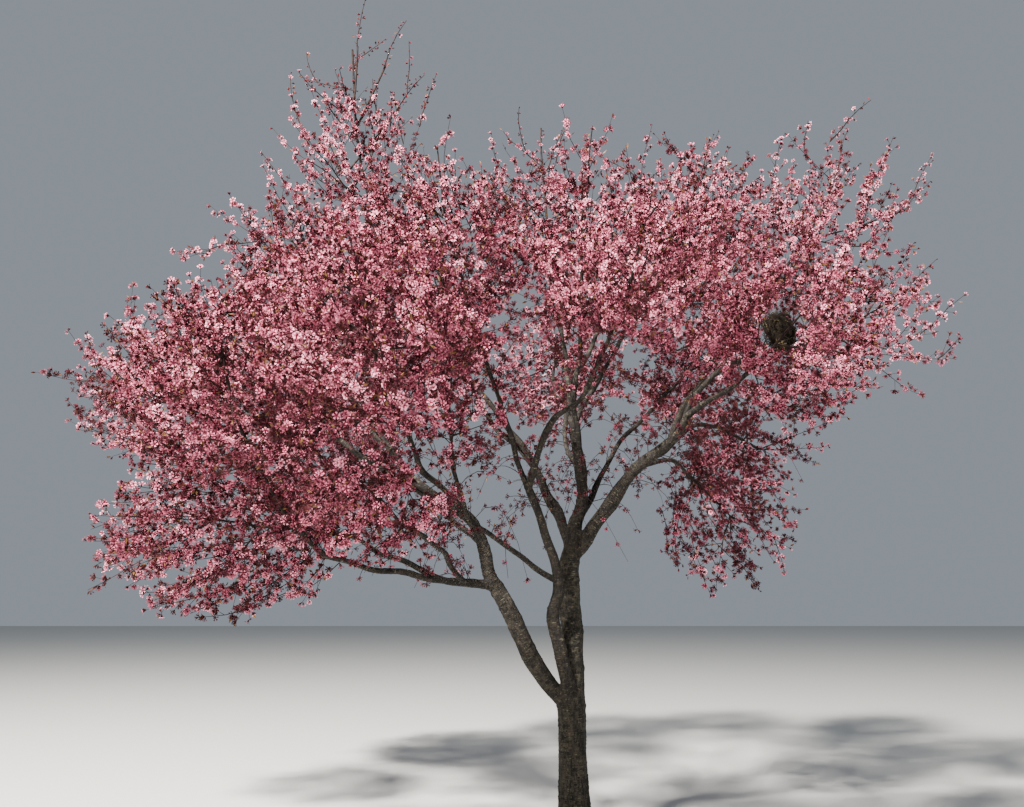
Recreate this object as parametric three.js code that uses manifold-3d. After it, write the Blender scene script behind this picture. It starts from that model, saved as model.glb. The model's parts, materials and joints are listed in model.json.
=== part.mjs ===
// A flowering cherry in full rose-pink blossom: a short trunk that forks into three stems, boughs that
// spread from them, and masses of twigs and blossom sprays that grow on from the tips of the boughs.
// Millimetres, +Z up. The origin is the middle of the trunk's cut at ground level, and -Y is the front.

import * as THREE from 'three';
import { mergeVertices } from 'three/addons/utils/BufferGeometryUtils.js';
import Module from 'manifold-3d';

const wasm = await Module();
wasm.setup();

// Trunk
const TRUNK_RADIUS = 96;
const TRUNK_TOP = 960;
const TRUNK_LEAN = [ - 12, 0 ];
const FLARE_RADIUS = 62;
const FLARE_HEIGHT = 120;
const FLARE_RIBS = 5;
const FLARE_RIB_DEPTH = 0.16;
const TRUNK_SIDES = 16;
const TRUNK_RINGS = 8;

// Stems and boughs
const TIP_GIRTH = 13;
const PIPE_POWER = 2.5;
const LIMB_STEP = 360;
const LIMB_SEED = 11;
const WAVES = [ 3, 4, 5 ];
const WANDER = 0.007;
const COLLAR = 0.28;
const JUNCTION_EASE = 0.03;
const ENTRY = 0.80;
const ENTRY_STEP = 0.005;
const CLEARANCE = 0.3;

// Twigs and sprays
const MASS_SEED = 101;
const GOAL_SPACING = 520;
const GOALS_A_TWIG = 3;
const GOAL_SHARE = 0.98;
const INNER_SHARE = 0.6;
const STEM_PAST = 0.25;
const STEM_RISE = 0.4;
const STEM_ELBOW = 0.45;
const STEM_BARE = 0.25;
const TWIG_RADIUS = 7;
const TWIG_SAG = 0.06;
const TWIG_BARE = 0.2;
const TWIG_ROOTS = { share: 0.75, back: 0.15, first: 0.08, last: 0.8 };
const LEAST_WOOD = 0.3;
const WIDEST_FORK = 1.4;
const ROOT_STEP = 0.12;
const LAST_ROOT = 0.85;
const SPRAY_LENGTH = 450;
const LONGEST_SPRAY = 520;
const SPRAY_WIDTH = 108;
const SPRAY_WAIST = 0.5;
const SPRAY_SEAT = 0.85;
const SPRAY_SIZES = [ 1, 0.85, 0.7, 0.55 ];
const WHIP_HEIGHT = 5500;
const WHIP_SHARE = 0.45;
const GOLDEN_ANGLE = Math.PI * ( 3 - Math.sqrt( 5 ) );

// Room kept: places tested along a twig or spray, space to a neighbour as a share of the radius, and
// space to a limb, which is tested as balls along its curve.
const TWIG_TESTS_FROM = 0.15;
const SPRAY_TESTS_FROM = 0.1;
const TEST_STEP = 0.85 / 9;
const BEADS = [ 0.3, 0.4, 0.5, 0.6, 0.75, 0.9 ];
const BORDER_ROOM = 2.5;
const LIMB_ROOM = 8;
const BALL_STEP = 20;

// Old nest
const NEST_BOUGH = 'right_bough';
const NEST_AT = 0.97;
const NEST_RADII = [ 125, 120, 140 ];
const NEST_RISE = 140;
const NEST_ROUGHNESS = 0.12;
const NEST_VIEW_TO = [ - 420, - 6400, 1550 ];
const NEST_VIEW_STEP = 60;
const NEST_VIEW_BALLS = 22;
const NEST_VIEW_RADIUS = 95;
const NEST_SEED = 7;

// Each mass of blossom keeps to its own egg-shaped space: its middle and its reach along X, Y and Z.
const MASSES = {
	crown_far_left: { middle: [ - 3000, - 150, 3000 ], reach: [ 840, 780, 680 ] },
	crown_upper_left: { middle: [ - 2500, 550, 3500 ], reach: [ 760, 780, 700 ] },
	crown_left_shoulder: { middle: [ - 1950, - 350, 3980 ], reach: [ 780, 760, 740 ] },
	crown_left_front: { middle: [ - 2050, - 1500, 2750 ], reach: [ 800, 740, 660 ] },
	crown_low_left: { middle: [ - 2200, - 1000, 1960 ], reach: [ 900, 700, 540 ] },
	crown_front_left: { middle: [ - 1150, - 2000, 2950 ], reach: [ 700, 700, 640 ] },
	crown_low_front: { middle: [ - 1170, - 1650, 2050 ], reach: [ 560, 560, 370 ] },
	crown_back_left: { middle: [ - 2200, 1650, 2850 ], reach: [ 880, 840, 740 ] },
	crown_front_centre: { middle: [ - 780, - 1350, 2600 ], reach: [ 420, 460, 370 ] },
	crown_front_upper_left: { middle: [ - 850, - 1150, 3850 ], reach: [ 740, 700, 700 ] },
	crown_front_upper_right: { middle: [ 350, - 1550, 3550 ], reach: [ 760, 720, 620 ] },
	crown_right_front: { middle: [ 1450, - 1150, 3250 ], reach: [ 760, 740, 640 ] },
	crown_top_left: { middle: [ - 1650, 100, 5050 ], reach: [ 720, 720, 1370 ] },
	crown_front_top: { middle: [ 150, - 500, 4350 ], reach: [ 740, 700, 700 ] },
	crown_top_centre: { middle: [ - 150, 500, 4900 ], reach: [ 800, 800, 740 ] },
	crown_upper_right: { middle: [ 1050, 0, 4550 ], reach: [ 760, 760, 760 ] },
	crown_top_right: { middle: [ 2100, 150, 4500 ], reach: [ 780, 760, 860 ] },
	crown_far_right: { middle: [ 2230, - 50, 3550 ], reach: [ 780, 760, 600 ] },
	crown_low_right: { middle: [ 1300, 700, 2250 ], reach: [ 640, 600, 680 ] },
	crown_back_low_right: { middle: [ 1850, 1500, 2850 ], reach: [ 760, 720, 660 ] },
	crown_back_right: { middle: [ 1450, 2000, 3850 ], reach: [ 800, 780, 700 ] },
	crown_back_centre: { middle: [ 0, 2350, 3950 ], reach: [ 880, 800, 680 ] },
	crown_back_upper_left: { middle: [ - 1350, 1750, 4150 ], reach: [ 880, 820, 760 ] },
	crown_back_upper_right: { middle: [ 800, 1300, 4800 ], reach: [ 800, 760, 720 ] },
};

// Each limb leaves its parent at a fraction of the parent's length, bends by way of the points given,
// and heads for the middle of its mass, where it ends as it enters the mass's space.
const LIMBS = {
	right_stem: {
		from: 'trunk', at: 1, girth: 52, to: 'crown_top_centre',
		via: [[ 10, 40, 1500 ], [ 20, 80, 2000 ], [ 60, 100, 2450 ], [ 40, 170, 3200 ]],
	},
	left_stem: {
		from: 'trunk', at: 1, girth: 36, to: 'crown_left_shoulder',
		via: [[ - 320, - 80, 1310 ], [ - 560, - 150, 1680 ], [ - 690, - 220, 2060 ], [ - 1180, - 400, 2520 ]],
	},
	middle_stem: {
		from: 'trunk', at: 1, girth: 44, to: 'crown_front_upper_left',
		via: [[ - 105, - 130, 1400 ], [ - 145, - 190, 1780 ], [ - 380, - 480, 2560 ]],
	},
	low_left_bough: {
		from: 'left_stem', at: 0.41, girth: 28, to: 'crown_left_front',
		via: [[ - 900, - 400, 1720 ], [ - 1600, - 1000, 1880 ]],
	},
	hanging_left_bough: {
		from: 'low_left_bough', at: 0.36, girth: 20, to: 'crown_low_left', via: [[ - 1500, - 700, 1960 ]],
	},
	low_front_bough: {
		from: 'low_left_bough', at: 0.20, girth: 20, to: 'crown_low_front', via: [[ - 930, - 1000, 1930 ]],
	},
	far_left_bough: {
		from: 'left_stem', at: 0.76, girth: 23, to: 'crown_far_left', via: [[ - 1900, - 300, 2760 ]],
	},
	upper_left_bough: {
		from: 'left_stem', at: 0.87, girth: 22, to: 'crown_upper_left', via: [[ - 1700, - 50, 3080 ]],
	},
	front_left_bough: {
		from: 'left_stem', at: 0.70, girth: 22, to: 'crown_front_left', via: [[ - 1080, - 1000, 2560 ]],
	},
	back_left_bough: {
		from: 'left_stem', at: 0.60, girth: 22, to: 'crown_back_left', via: [[ - 1300, 600, 2500 ]],
	},
	middle_right_bough: {
		from: 'middle_stem', at: 0.76, girth: 25, to: 'crown_front_upper_right',
		via: [[ - 150, - 680, 2730 ], [ 80, - 950, 2920 ]],
	},
	middle_left_bough: {
		from: 'middle_stem', at: 0.52, girth: 21, to: 'crown_front_centre',
		via: [[ - 430, - 480, 1905 ], [ - 700, - 800, 2100 ]],
	},
	right_bough: {
		from: 'right_stem', at: 0.37, girth: 38, to: 'crown_far_right',
		via: [[ 420, - 60, 2400 ], [ 680, - 160, 2700 ], [ 1130, - 300, 3180 ]],
	},
	right_upright: {
		from: 'right_bough', at: 0.56, girth: 23, to: 'crown_top_right',
		via: [[ 900, - 60, 3050 ], [ 1350, 60, 3700 ]],
	},
	right_front_bough: {
		from: 'right_bough', at: 0.66, girth: 21, to: 'crown_right_front', via: [[ 1080, - 620, 3000 ]],
	},
	low_right_bough: {
		from: 'right_bough', at: 0.28, girth: 20, to: 'crown_low_right', via: [[ 760, 280, 2620 ]],
	},
	back_low_right_bough: {
		from: 'right_bough', at: 0.44, girth: 22, to: 'crown_back_low_right', via: [[ 1150, 500, 2930 ]],
	},
	lit_bough: {
		from: 'right_stem', at: 0.40, girth: 42, to: 'crown_top_left',
		via: [[ - 100, 260, 2250 ], [ - 330, 480, 2730 ], [ - 1150, 420, 3800 ]],
	},
	back_upper_left_bough: {
		from: 'lit_bough', at: 0.52, girth: 22, to: 'crown_back_upper_left', via: [[ - 800, 1000, 3350 ]],
	},
	upper_diagonal_bough: {
		from: 'right_stem', at: 0.79, girth: 22, to: 'crown_upper_right', via: [[ 430, 200, 3560 ]],
	},
	front_upright_bough: {
		from: 'right_stem', at: 0.72, girth: 22, to: 'crown_front_top', via: [[ 60, - 120, 3400 ]],
	},
	back_right_bough: {
		from: 'right_stem', at: 0.48, girth: 24, to: 'crown_back_right', via: [[ 600, 900, 3000 ]],
	},
	back_centre_bough: {
		from: 'right_stem', at: 0.60, girth: 22, to: 'crown_back_centre', via: [[ 0, 1100, 3200 ]],
	},
	back_upper_right_bough: {
		from: 'right_stem', at: 0.83, girth: 22, to: 'crown_back_upper_right', via: [[ 330, 700, 3850 ]],
	},
};

const MATERIALS = {
	bark: { color: 0x4a3f38, roughness: 0.9, metalness: 0 },
	blossom: { color: 0xd9808f, roughness: 0.8, metalness: 0 },
	nest: { color: 0x5a4a34, roughness: 0.95, metalness: 0 },
};

const vector = ( place ) => new THREE.Vector3( ...place );
const mix = THREE.MathUtils.lerp;

// Seeded numbers from 0 to 1, the same on every run.
function draws( seed ) {

	let state = seed;
	return () => {

		state = ( state * 48271 ) % 2147483647;
		return state / 2147483647;

	};

}

// Space: a mass's mean radius, how deep a point lies inside its egg, and whether a ball stays in it.
function sizeOf( { reach } ) {

	return Math.cbrt( reach[ 0 ] * reach[ 1 ] * reach[ 2 ] );

}

function depthIn( mass, point ) {

	const offset = point.toArray().map( ( value, axis ) =>
		( value - mass.middle[ axis ] ) / mass.reach[ axis ] );
	return ( 1 - Math.hypot( ...offset ) ) * sizeOf( mass );

}

function isOwnSpace( name, point, radius ) {

	const depth = depthIn( MASSES[ name ], point );
	if ( depth < 0 ) return false;
	return Object.keys( MASSES ).every( ( other ) =>
		other === name || depth - depthIn( MASSES[ other ], point ) > BORDER_ROOM * radius );

}

// Limbs: a curve through a few points, with a slight seeded wander that dies out at both ends.
function limbCurve( start, via, goal, seed ) {

	const spine = new THREE.CatmullRomCurve3( [ start, ...via.map( vector ), goal ], false, 'catmullrom', 0.5 );
	const draw = draws( seed );
	const size = WANDER * start.distanceTo( goal );
	const waves = WAVES.map( ( count ) => ( {
		count,
		swing: new THREE.Vector3( draw() - 0.5, draw() - 0.5, draw() - 0.5 ).multiplyScalar( 2 * size ),
	} ) );
	return ( t ) => {

		const point = spine.getPoint( t );
		waves.forEach( ( wave ) => point.addScaledVector( wave.swing, Math.sin( Math.PI * wave.count * t ) ) );
		return point;

	};

}

function entryInto( mass, curve ) {

	for ( let t = 1; t > 0; t -= ENTRY_STEP ) {

		if ( depthIn( mass, curve( t ) ) < ( 1 - ENTRY ) * sizeOf( mass ) ) return t;

	}

}

function headingOf( curve, f ) {

	return curve( Math.min( f + 0.01, 1 ) ).sub( curve( Math.max( f - 0.01, 0 ) ) ).normalize();

}

function curveLength( curve ) {

	let total = 0;
	for ( let k = 0; k < 20; k ++ ) total += curve( k / 20 ).distanceTo( curve( ( k + 1 ) / 20 ) );
	return total;

}

// A limb is as thick at any place as all that it still carries: a power of the radii adds up.
function limbRadius( limb, f ) {

	let sum = mix( limb.girth, limb.tipGirth, f ) ** PIPE_POWER;
	limb.children.forEach( ( child ) => {

		const passed = THREE.MathUtils.smoothstep( f, child.at - JUNCTION_EASE, child.at + JUNCTION_EASE );
		sum += child.base ** PIPE_POWER * ( 1 - passed );

	} );
	return sum ** ( 1 / PIPE_POWER );

}

function growLimbs() {

	const trunkCurve = ( t ) => new THREE.Vector3( TRUNK_LEAN[ 0 ] * t, TRUNK_LEAN[ 1 ] * t, TRUNK_TOP * t );
	const limbs = { trunk: { curve: trunkCurve, children: [], girth: 0, tipGirth: 0 } };
	Object.entries( LIMBS ).forEach( ( [ name, { from, at, girth, to, via } ], index ) => {

		const parent = limbs[ from ];
		const start = parent.curve( at ).add( new THREE.Vector3( 0, 0, from === 'trunk' ? - TRUNK_RADIUS : 0 ) );
		const whole = limbCurve( start, via, vector( MASSES[ to ].middle ), index + LIMB_SEED );
		const end = entryInto( MASSES[ to ], whole );
		const limb = { at, girth, tipGirth: TIP_GIRTH, children: [], curve: ( f ) => whole( f * end ) };
		limb.length = curveLength( limb.curve );
		limbs[ name ] = limb;
		parent.children.push( limb );

	} );
	Object.values( limbs ).reverse().forEach( ( limb ) => {

		limb.base = limbRadius( limb, 0 );

	} );
	return limbs;

}

// Solids: a unit cylinder bent along a curve for wood, a three-sided spindle for a spray.
function toSolid( geometry ) {

	const bare = geometry.clone();
	bare.deleteAttribute( 'normal' );
	bare.deleteAttribute( 'uv' );
	const merged = mergeVertices( bare, 1e-4 );
	const triangles = [];
	for ( let k = 0; k < merged.index.count; k += 3 ) {

		const corners = [ 0, 1, 2 ].map( ( step ) => merged.index.getX( k + step ) );
		if ( new Set( corners ).size === 3 ) triangles.push( ...corners );

	}

	return new wasm.Manifold( new wasm.Mesh( {
		numProp: 3,
		vertProperties: new Float32Array( merged.attributes.position.array ),
		triVerts: new Uint32Array( triangles ),
	} ) );

}

function tube( curve, radiusAt, sides, rings, from = 0, to = 1 ) {

	const geometry = new THREE.CylinderGeometry( 1, 1, 1, sides, rings );
	const position = geometry.attributes.position;
	const chord = curve( to ).sub( curve( from ) );
	const across = new THREE.Vector3( chord.y, - chord.x, 0 );
	if ( across.length() < 0.05 * chord.length() ) across.set( 0, 1, 0 );
	across.normalize();
	for ( let k = 0; k < position.count; k ++ ) {

		const share = position.getY( k ) + 0.5;
		const f = mix( from, to, share );
		const ahead = headingOf( curve, f );
		const first = across.clone().addScaledVector( ahead, - across.dot( ahead ) ).normalize();
		const second = new THREE.Vector3().crossVectors( first, ahead );
		const radius = radiusAt( f );
		const place = curve( f ).addScaledVector( first, position.getX( k ) * radius );
		place.addScaledVector( second, position.getZ( k ) * radius );
		position.setXYZ( k, place.x, place.y, place.z );

	}

	return toSolid( geometry );

}

function spray( root, along, width ) {

	const length = along.length();
	const outline = [ [ 0, 0 ], [ width, SPRAY_WAIST * length ], [ 0, length ] ];
	const geometry = new THREE.LatheGeometry( outline.map( ( point ) => new THREE.Vector2( ...point ) ), 3 );
	const up = new THREE.Vector3( 0, 1, 0 );
	geometry.applyQuaternion( new THREE.Quaternion().setFromUnitVectors( up, along.clone().normalize() ) );
	geometry.translate( root.x, root.y, root.z );
	return toSolid( geometry );

}

function largestPiece( solid ) {

	const pieces = solid.decompose();
	return pieces.reduce( ( best, piece ) => piece.volume() > best.volume() ? piece : best );

}

function toMesh( name, solid, material ) {

	const { vertProperties, triVerts } = solid.getMesh();
	const geometry = new THREE.BufferGeometry();
	geometry.setAttribute( 'position', new THREE.BufferAttribute( new Float32Array( vertProperties ), 3 ) );
	geometry.setIndex( new THREE.BufferAttribute( new Uint32Array( triVerts ), 1 ) );
	geometry.computeVertexNormals();
	const finish = new THREE.MeshStandardMaterial( { ...material, flatShading: true } );
	const mesh = new THREE.Mesh( geometry, finish );
	mesh.name = name;
	return mesh;

}

// Trunk: a slightly leaning column on a ribbed root flare, cut flat at the ground and at the fork.
function trunkSolid( extra ) {

	const height = TRUNK_TOP + extra;
	const geometry = new THREE.CylinderGeometry( 1, 1, height, TRUNK_SIDES, TRUNK_RINGS );
	geometry.rotateX( Math.PI / 2 );
	geometry.translate( 0, 0, height / 2 );
	const position = geometry.attributes.position;
	for ( let k = 0; k < position.count; k ++ ) {

		const [ x, y, z ] = [ 0, 1, 2 ].map( ( axis ) => position.getComponent( k, axis ) );
		const flare = Math.exp( - z / FLARE_HEIGHT );
		const ribs = 1 + FLARE_RIB_DEPTH * flare * Math.cos( FLARE_RIBS * Math.atan2( y, x ) );
		const radius = ( TRUNK_RADIUS + FLARE_RADIUS * flare ) * ribs + extra;
		const [ leanX, leanY ] = TRUNK_LEAN.map( ( lean ) => lean * z / TRUNK_TOP );
		position.setXYZ( k, x * radius + leanX, y * radius + leanY, z );

	}

	return toSolid( geometry );

}

// Old nest: a rough ball of dead twigs that sits astride a bough.
function nestMiddle( limbs ) {

	return limbs[ NEST_BOUGH ].curve( NEST_AT ).add( new THREE.Vector3( 0, 0, NEST_RISE ) );

}

// Balls that no twig or spray enters, which leave the nest open to the front.
function nestView( limbs ) {

	const middle = nestMiddle( limbs );
	const ahead = vector( NEST_VIEW_TO ).sub( middle ).normalize();
	return Array.from( { length: NEST_VIEW_BALLS }, ( _, k ) => ( {
		centre: middle.clone().addScaledVector( ahead, ( k + 1 ) * NEST_VIEW_STEP ),
		radius: NEST_VIEW_RADIUS,
	} ) );

}

function nestSolid( limbs ) {

	const geometry = new THREE.IcosahedronGeometry( 1, 1 );
	geometry.deleteAttribute( 'normal' );
	geometry.deleteAttribute( 'uv' );
	const ball = mergeVertices( geometry );
	const position = ball.attributes.position;
	const middle = nestMiddle( limbs );
	const draw = draws( NEST_SEED );
	for ( let k = 0; k < position.count; k ++ ) {

		const swell = 1 - NEST_ROUGHNESS * draw();
		const place = middle.toArray().map( ( value, axis ) =>
			value + NEST_RADII[ axis ] * swell * position.getComponent( k, axis ) );
		position.setXYZ( k, ...place );

	}

	return largestPiece( toSolid( ball ).subtract( limbSolid( limbs[ NEST_BOUGH ], CLEARANCE ) ) );

}

function limbSolid( limb, extra ) {

	const sides = limb.base > 50 ? 10 : limb.base > 28 ? 8 : 6;
	const rings = Math.ceil( limb.length / LIMB_STEP );
	const radiusAt = ( f ) => limbRadius( limb, f ) * ( 1 + COLLAR * Math.exp( - f * limb.length / limb.base ) );
	return tube( limb.curve, ( f ) => radiusAt( f ) + extra, sides, rings );

}

function makeLimbs( limbs ) {

	const solids = { trunk: trunkSolid( 0 ) };
	const cutters = { trunk: trunkSolid( CLEARANCE ) };
	Object.keys( LIMBS ).forEach( ( name ) => {

		let solid = limbSolid( limbs[ name ], 0 );
		Object.values( cutters ).forEach( ( cutter ) => {

			solid = solid.subtract( cutter );

		} );
		solids[ name ] = largestPiece( solid );
		cutters[ name ] = limbSolid( limbs[ name ], CLEARANCE );

	} );
	return solids;

}

// Masses: a stem that goes on from the bough's tip, twigs that curve out to points spread evenly over
// the egg, and sprays at the twigs' ends, along the twigs and on the stem.
function limbBalls( limbs ) {

	const balls = [];
	Object.entries( limbs ).forEach( ( [ name, limb ] ) => {

		if ( name === 'trunk' ) return;
		for ( let f = 0; f <= 1; f += BALL_STEP / limb.length ) {

			balls.push( { centre: limb.curve( f ), radius: limbRadius( limb, f ) } );

		}

	} );
	return balls;

}

function isClear( name, curve, radiusAt, balls, from ) {

	for ( let f = from; f <= 1.0001; f += TEST_STEP ) {

		const point = curve( f );
		const radius = radiusAt( f );
		if ( ! isOwnSpace( name, point, radius ) ) return false;
		const meets = ( ball ) => ball.centre.distanceTo( point ) < ball.radius + radius + LIMB_ROOM;
		if ( balls.some( meets ) ) return false;

	}

	return true;

}

function bend( start, elbow, end ) {

	const curve = new THREE.QuadraticBezierCurve3( start, elbow, end );
	return ( t ) => curve.getPoint( t );

}

// Straight stretches from point to point, so that what roots on them lies on the solid's own axis.
function inStretches( points ) {

	const count = points.length - 1;
	return ( t ) => {

		const k = Math.min( Math.floor( t * count ), count - 1 );
		return points[ k ].clone().lerp( points[ k + 1 ], t * count - k );

	};

}

function massSolid( name, limb, balls, seed ) {

	const mass = MASSES[ name ];
	const count = Math.round( 4 * Math.PI * ( sizeOf( mass ) / GOAL_SPACING ) ** 2 );
	const goals = [];
	for ( let k = 0; k < count; k ++ ) {

		const height = 1 - 2 * ( k + 0.5 ) / count;
		const share = k % GOALS_A_TWIG === 2 ? INNER_SHARE : GOAL_SHARE;
		const ring = share * Math.sqrt( 1 - height * height );
		const angle = k * GOLDEN_ANGLE + seed;
		goals.push( new THREE.Vector3(
			mass.middle[ 0 ] + mass.reach[ 0 ] * ring * Math.cos( angle ),
			mass.middle[ 1 ] + mass.reach[ 1 ] * ring * Math.sin( angle ),
			mass.middle[ 2 ] + mass.reach[ 2 ] * share * height ) );

	}

	const parts = [];
	const taken = [];
	const addSpray = ( root, goal ) => {

		const whole = goal.clone().sub( root ).clampLength( 0, LONGEST_SPRAY );
		const width = SPRAY_WIDTH * Math.min( 1, whole.length() / SPRAY_LENGTH );
		const slim = goal.z > WHIP_HEIGHT ? WHIP_SHARE : 1;
		for ( const size of SPRAY_SIZES ) {

			const along = whole.clone().multiplyScalar( size );
			const waist = slim * width * size;
			const line = ( f ) => root.clone().addScaledVector( along, f );
			const widthAt = ( f ) => waist * Math.min( f / SPRAY_WAIST, ( 1 - f ) / ( 1 - SPRAY_WAIST ) );
			if ( ! isClear( name, line, widthAt, balls, SPRAY_TESTS_FROM ) ) continue;
			const beads = BEADS.map( ( f ) => ( { centre: line( f ), radius: widthAt( f ) } ) );
			const meets = ( bead ) => taken.some( ( other ) =>
				other.centre.distanceTo( bead.centre ) < other.radius + bead.radius );
			if ( beads.some( meets ) ) continue;
			taken.push( ...beads );
			parts.push( spray( root, along, waist ) );
			return;

		}

	};

	const heading = headingOf( limb.curve, 1 );
	const start = limb.curve( 1 ).addScaledVector( heading, CLEARANCE );
	const crest = vector( mass.middle ).addScaledVector( heading, STEM_PAST * mass.reach[ 0 ] );
	crest.z += STEM_RISE * mass.reach[ 2 ] * Math.max( 0, 0.5 + heading.z );
	const elbow = start.clone().addScaledVector( heading, STEM_ELBOW * start.distanceTo( crest ) );
	const stem = inStretches( [ start, elbow, crest ] );
	parts.push( tube( stem, ( f ) => limb.tipGirth * ( 1 - f ), 4, 2 ) );

	const shoots = [ { curve: stem, from: STEM_BARE } ];
	const stemWay = crest.clone().sub( start );
	const isTwigGoal = ( goal, k ) => k % GOALS_A_TWIG === 0;
	goals.filter( isTwigGoal ).forEach( ( goal ) => {

		const ahead = goal.clone().sub( start ).dot( stemWay ) / stemWay.lengthSq();
		const { share, back, first, last } = TWIG_ROOTS;
		const root = stem( THREE.MathUtils.clamp( share * ahead - back, first, last ) );
		const sag = root.clone().lerp( goal, 0.5 );
		sag.z -= TWIG_SAG * root.distanceTo( goal );
		const twig = bend( root, sag, goal );
		const wood = Math.max( LEAST_WOOD, 1 - SPRAY_SEAT * SPRAY_LENGTH / root.distanceTo( goal ) );
		if ( ! isClear( name, ( f ) => twig( f * wood ), () => TWIG_RADIUS, balls, TWIG_TESTS_FROM ) ) return;
		parts.push( tube( twig, ( f ) => TWIG_RADIUS * ( 1 - f / wood ), 3, 1, 0, wood ) );
		addSpray( root.clone().lerp( twig( wood ), SPRAY_SEAT ), goal );
		shoots.push( { curve: ( f ) => root.clone().lerp( twig( wood ), f ), from: TWIG_BARE } );

	} );
	goals.forEach( ( goal, k ) => {

		if ( isTwigGoal( goal, k ) ) return;
		let best = null;
		shoots.forEach( ( { curve, from } ) => {

			for ( let f = from; f < LAST_ROOT; f += ROOT_STEP ) {

				const root = curve( f );
				const way = goal.clone().sub( root );
				const misfit = Math.abs( way.length() - SPRAY_LENGTH );
				if ( way.angleTo( headingOf( curve, f ) ) > WIDEST_FORK ) continue;
				if ( best === null || misfit < best.misfit ) best = { root, misfit };

			}

		} );
		if ( best ) addSpray( best.root, goal );

	} );
	return largestPiece( wasm.Manifold.union( parts ) );

}

const limbs = growLimbs();
const balls = limbBalls( limbs );
balls.push( { centre: nestMiddle( limbs ), radius: Math.max( ...NEST_RADII ) } );
balls.push( ...nestView( limbs ) );
const cherry = new THREE.Group();
Object.entries( makeLimbs( limbs ) ).forEach( ( [ name, solid ] ) => {

	cherry.add( toMesh( name, solid, MATERIALS.bark ) );

} );
Object.entries( LIMBS ).forEach( ( [ name, { to } ], index ) => {

	cherry.add( toMesh( to, massSolid( to, limbs[ name ], balls, index + MASS_SEED ), MATERIALS.blossom ) );

} );

cherry.add( toMesh( 'old_nest', nestSolid( limbs ), MATERIALS.nest ) );

export default cherry;
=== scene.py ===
import itertools
import json
import math

import bpy
import numpy as np
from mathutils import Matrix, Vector, kdtree, noise

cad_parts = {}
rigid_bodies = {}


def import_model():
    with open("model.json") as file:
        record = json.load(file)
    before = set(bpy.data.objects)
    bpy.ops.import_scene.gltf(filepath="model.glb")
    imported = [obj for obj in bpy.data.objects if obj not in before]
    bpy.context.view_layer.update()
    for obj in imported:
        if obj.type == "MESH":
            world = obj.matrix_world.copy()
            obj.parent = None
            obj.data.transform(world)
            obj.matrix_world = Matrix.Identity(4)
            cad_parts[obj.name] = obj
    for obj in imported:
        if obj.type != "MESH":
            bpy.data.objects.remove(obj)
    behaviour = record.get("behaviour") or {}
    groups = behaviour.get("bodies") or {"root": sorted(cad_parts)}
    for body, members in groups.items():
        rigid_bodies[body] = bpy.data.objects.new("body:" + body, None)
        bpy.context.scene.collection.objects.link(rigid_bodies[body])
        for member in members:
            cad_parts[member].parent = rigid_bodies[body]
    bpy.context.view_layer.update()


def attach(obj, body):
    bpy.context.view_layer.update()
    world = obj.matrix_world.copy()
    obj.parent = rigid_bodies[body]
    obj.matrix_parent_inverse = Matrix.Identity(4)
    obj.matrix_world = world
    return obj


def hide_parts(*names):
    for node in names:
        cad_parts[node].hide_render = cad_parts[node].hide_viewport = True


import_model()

# The tree grows in millimetres, by the rule of its solids. MM turns a finished mesh into metres.
MM = 0.001

# Kinds of shoot, and the share of its length from which each kind flowers
STEM, TWIG, WAND, SPUR, SPRIG = 1, 2, 3, 4, 5
FLOWERS_FROM = {STEM: 0.5, TWIG: 0.4, WAND: 0.12, SPUR: 0.4, SPRIG: 0.25}

# Trunk
TRUNK_RADIUS = 96
TRUNK_TOP = 960
TRUNK_LEAN = (-12, 0)
FLARE_RADIUS = 62
FLARE_HEIGHT = 120
FLARE_RIBS = 5
FLARE_RIB_DEPTH = 0.16

# Stems and boughs
TIP_GIRTH = 13
PIPE_POWER = 2.5
LIMB_SEED = 11
WAVES = (3, 4, 5)
WANDER = 0.007
COLLAR = 0.28
JUNCTION_EASE = 0.03
ENTRY = 0.80
ENTRY_STEP = 0.005
CLEARANCE = 0.3
LENGTH_STATIONS = 21
HEADING_STEP = 0.01
UPRIGHT_SHARE = 0.05

# Twigs and sprays, as the solids have them
MASS_SEED = 101
GOAL_SPACING = 520
GOALS_A_TWIG = 3
GOAL_SHARE = 0.98
INNER_SHARE = 0.6
STEM_PAST = 0.25
STEM_RISE = 0.4
STEM_LIFT = 0.5
STEM_ELBOW = 0.45
STEM_BARE = 0.25
STEM_TIP_GIRTH = 4
TWIG_RADIUS = 7
TWIG_GIRTHS = (TWIG_RADIUS, 3.4)
TWIG_SAG = 0.06
TWIG_BARE = 0.2
TWIG_ROOTS = {"share": 0.75, "back": 0.15, "first": 0.08, "last": 0.8}
LEAST_WOOD = 0.3
WIDEST_FORK = 1.4
ROOT_STEP = 0.12
LAST_ROOT = 0.85
SPRAY_LENGTH = 450
LONGEST_SPRAY = 520
SPRAY_WIDTH = 108
SPRAY_WAIST = 0.5
SPRAY_SEAT = 0.85
SPRAY_SIZES = (1, 0.85, 0.7, 0.55)
WHIP_HEIGHT = 5500
WHIP_SHARE = 0.45
GOLDEN_ANGLE = math.pi * (3 - math.sqrt(5))

# Room kept, tested at these shares of a twig's or spray's length
TEST_STEP = 0.85 / 9
TWIG_TESTS = np.arange(0.15, 1.0001, TEST_STEP)
SPRAY_TESTS = np.arange(0.1, 1.0001, TEST_STEP)
BEADS = np.array([0.3, 0.4, 0.5, 0.6, 0.75, 0.9])
BORDER_ROOM = 2.5
LIMB_ROOM = 8
BALL_STEP = 20

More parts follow.
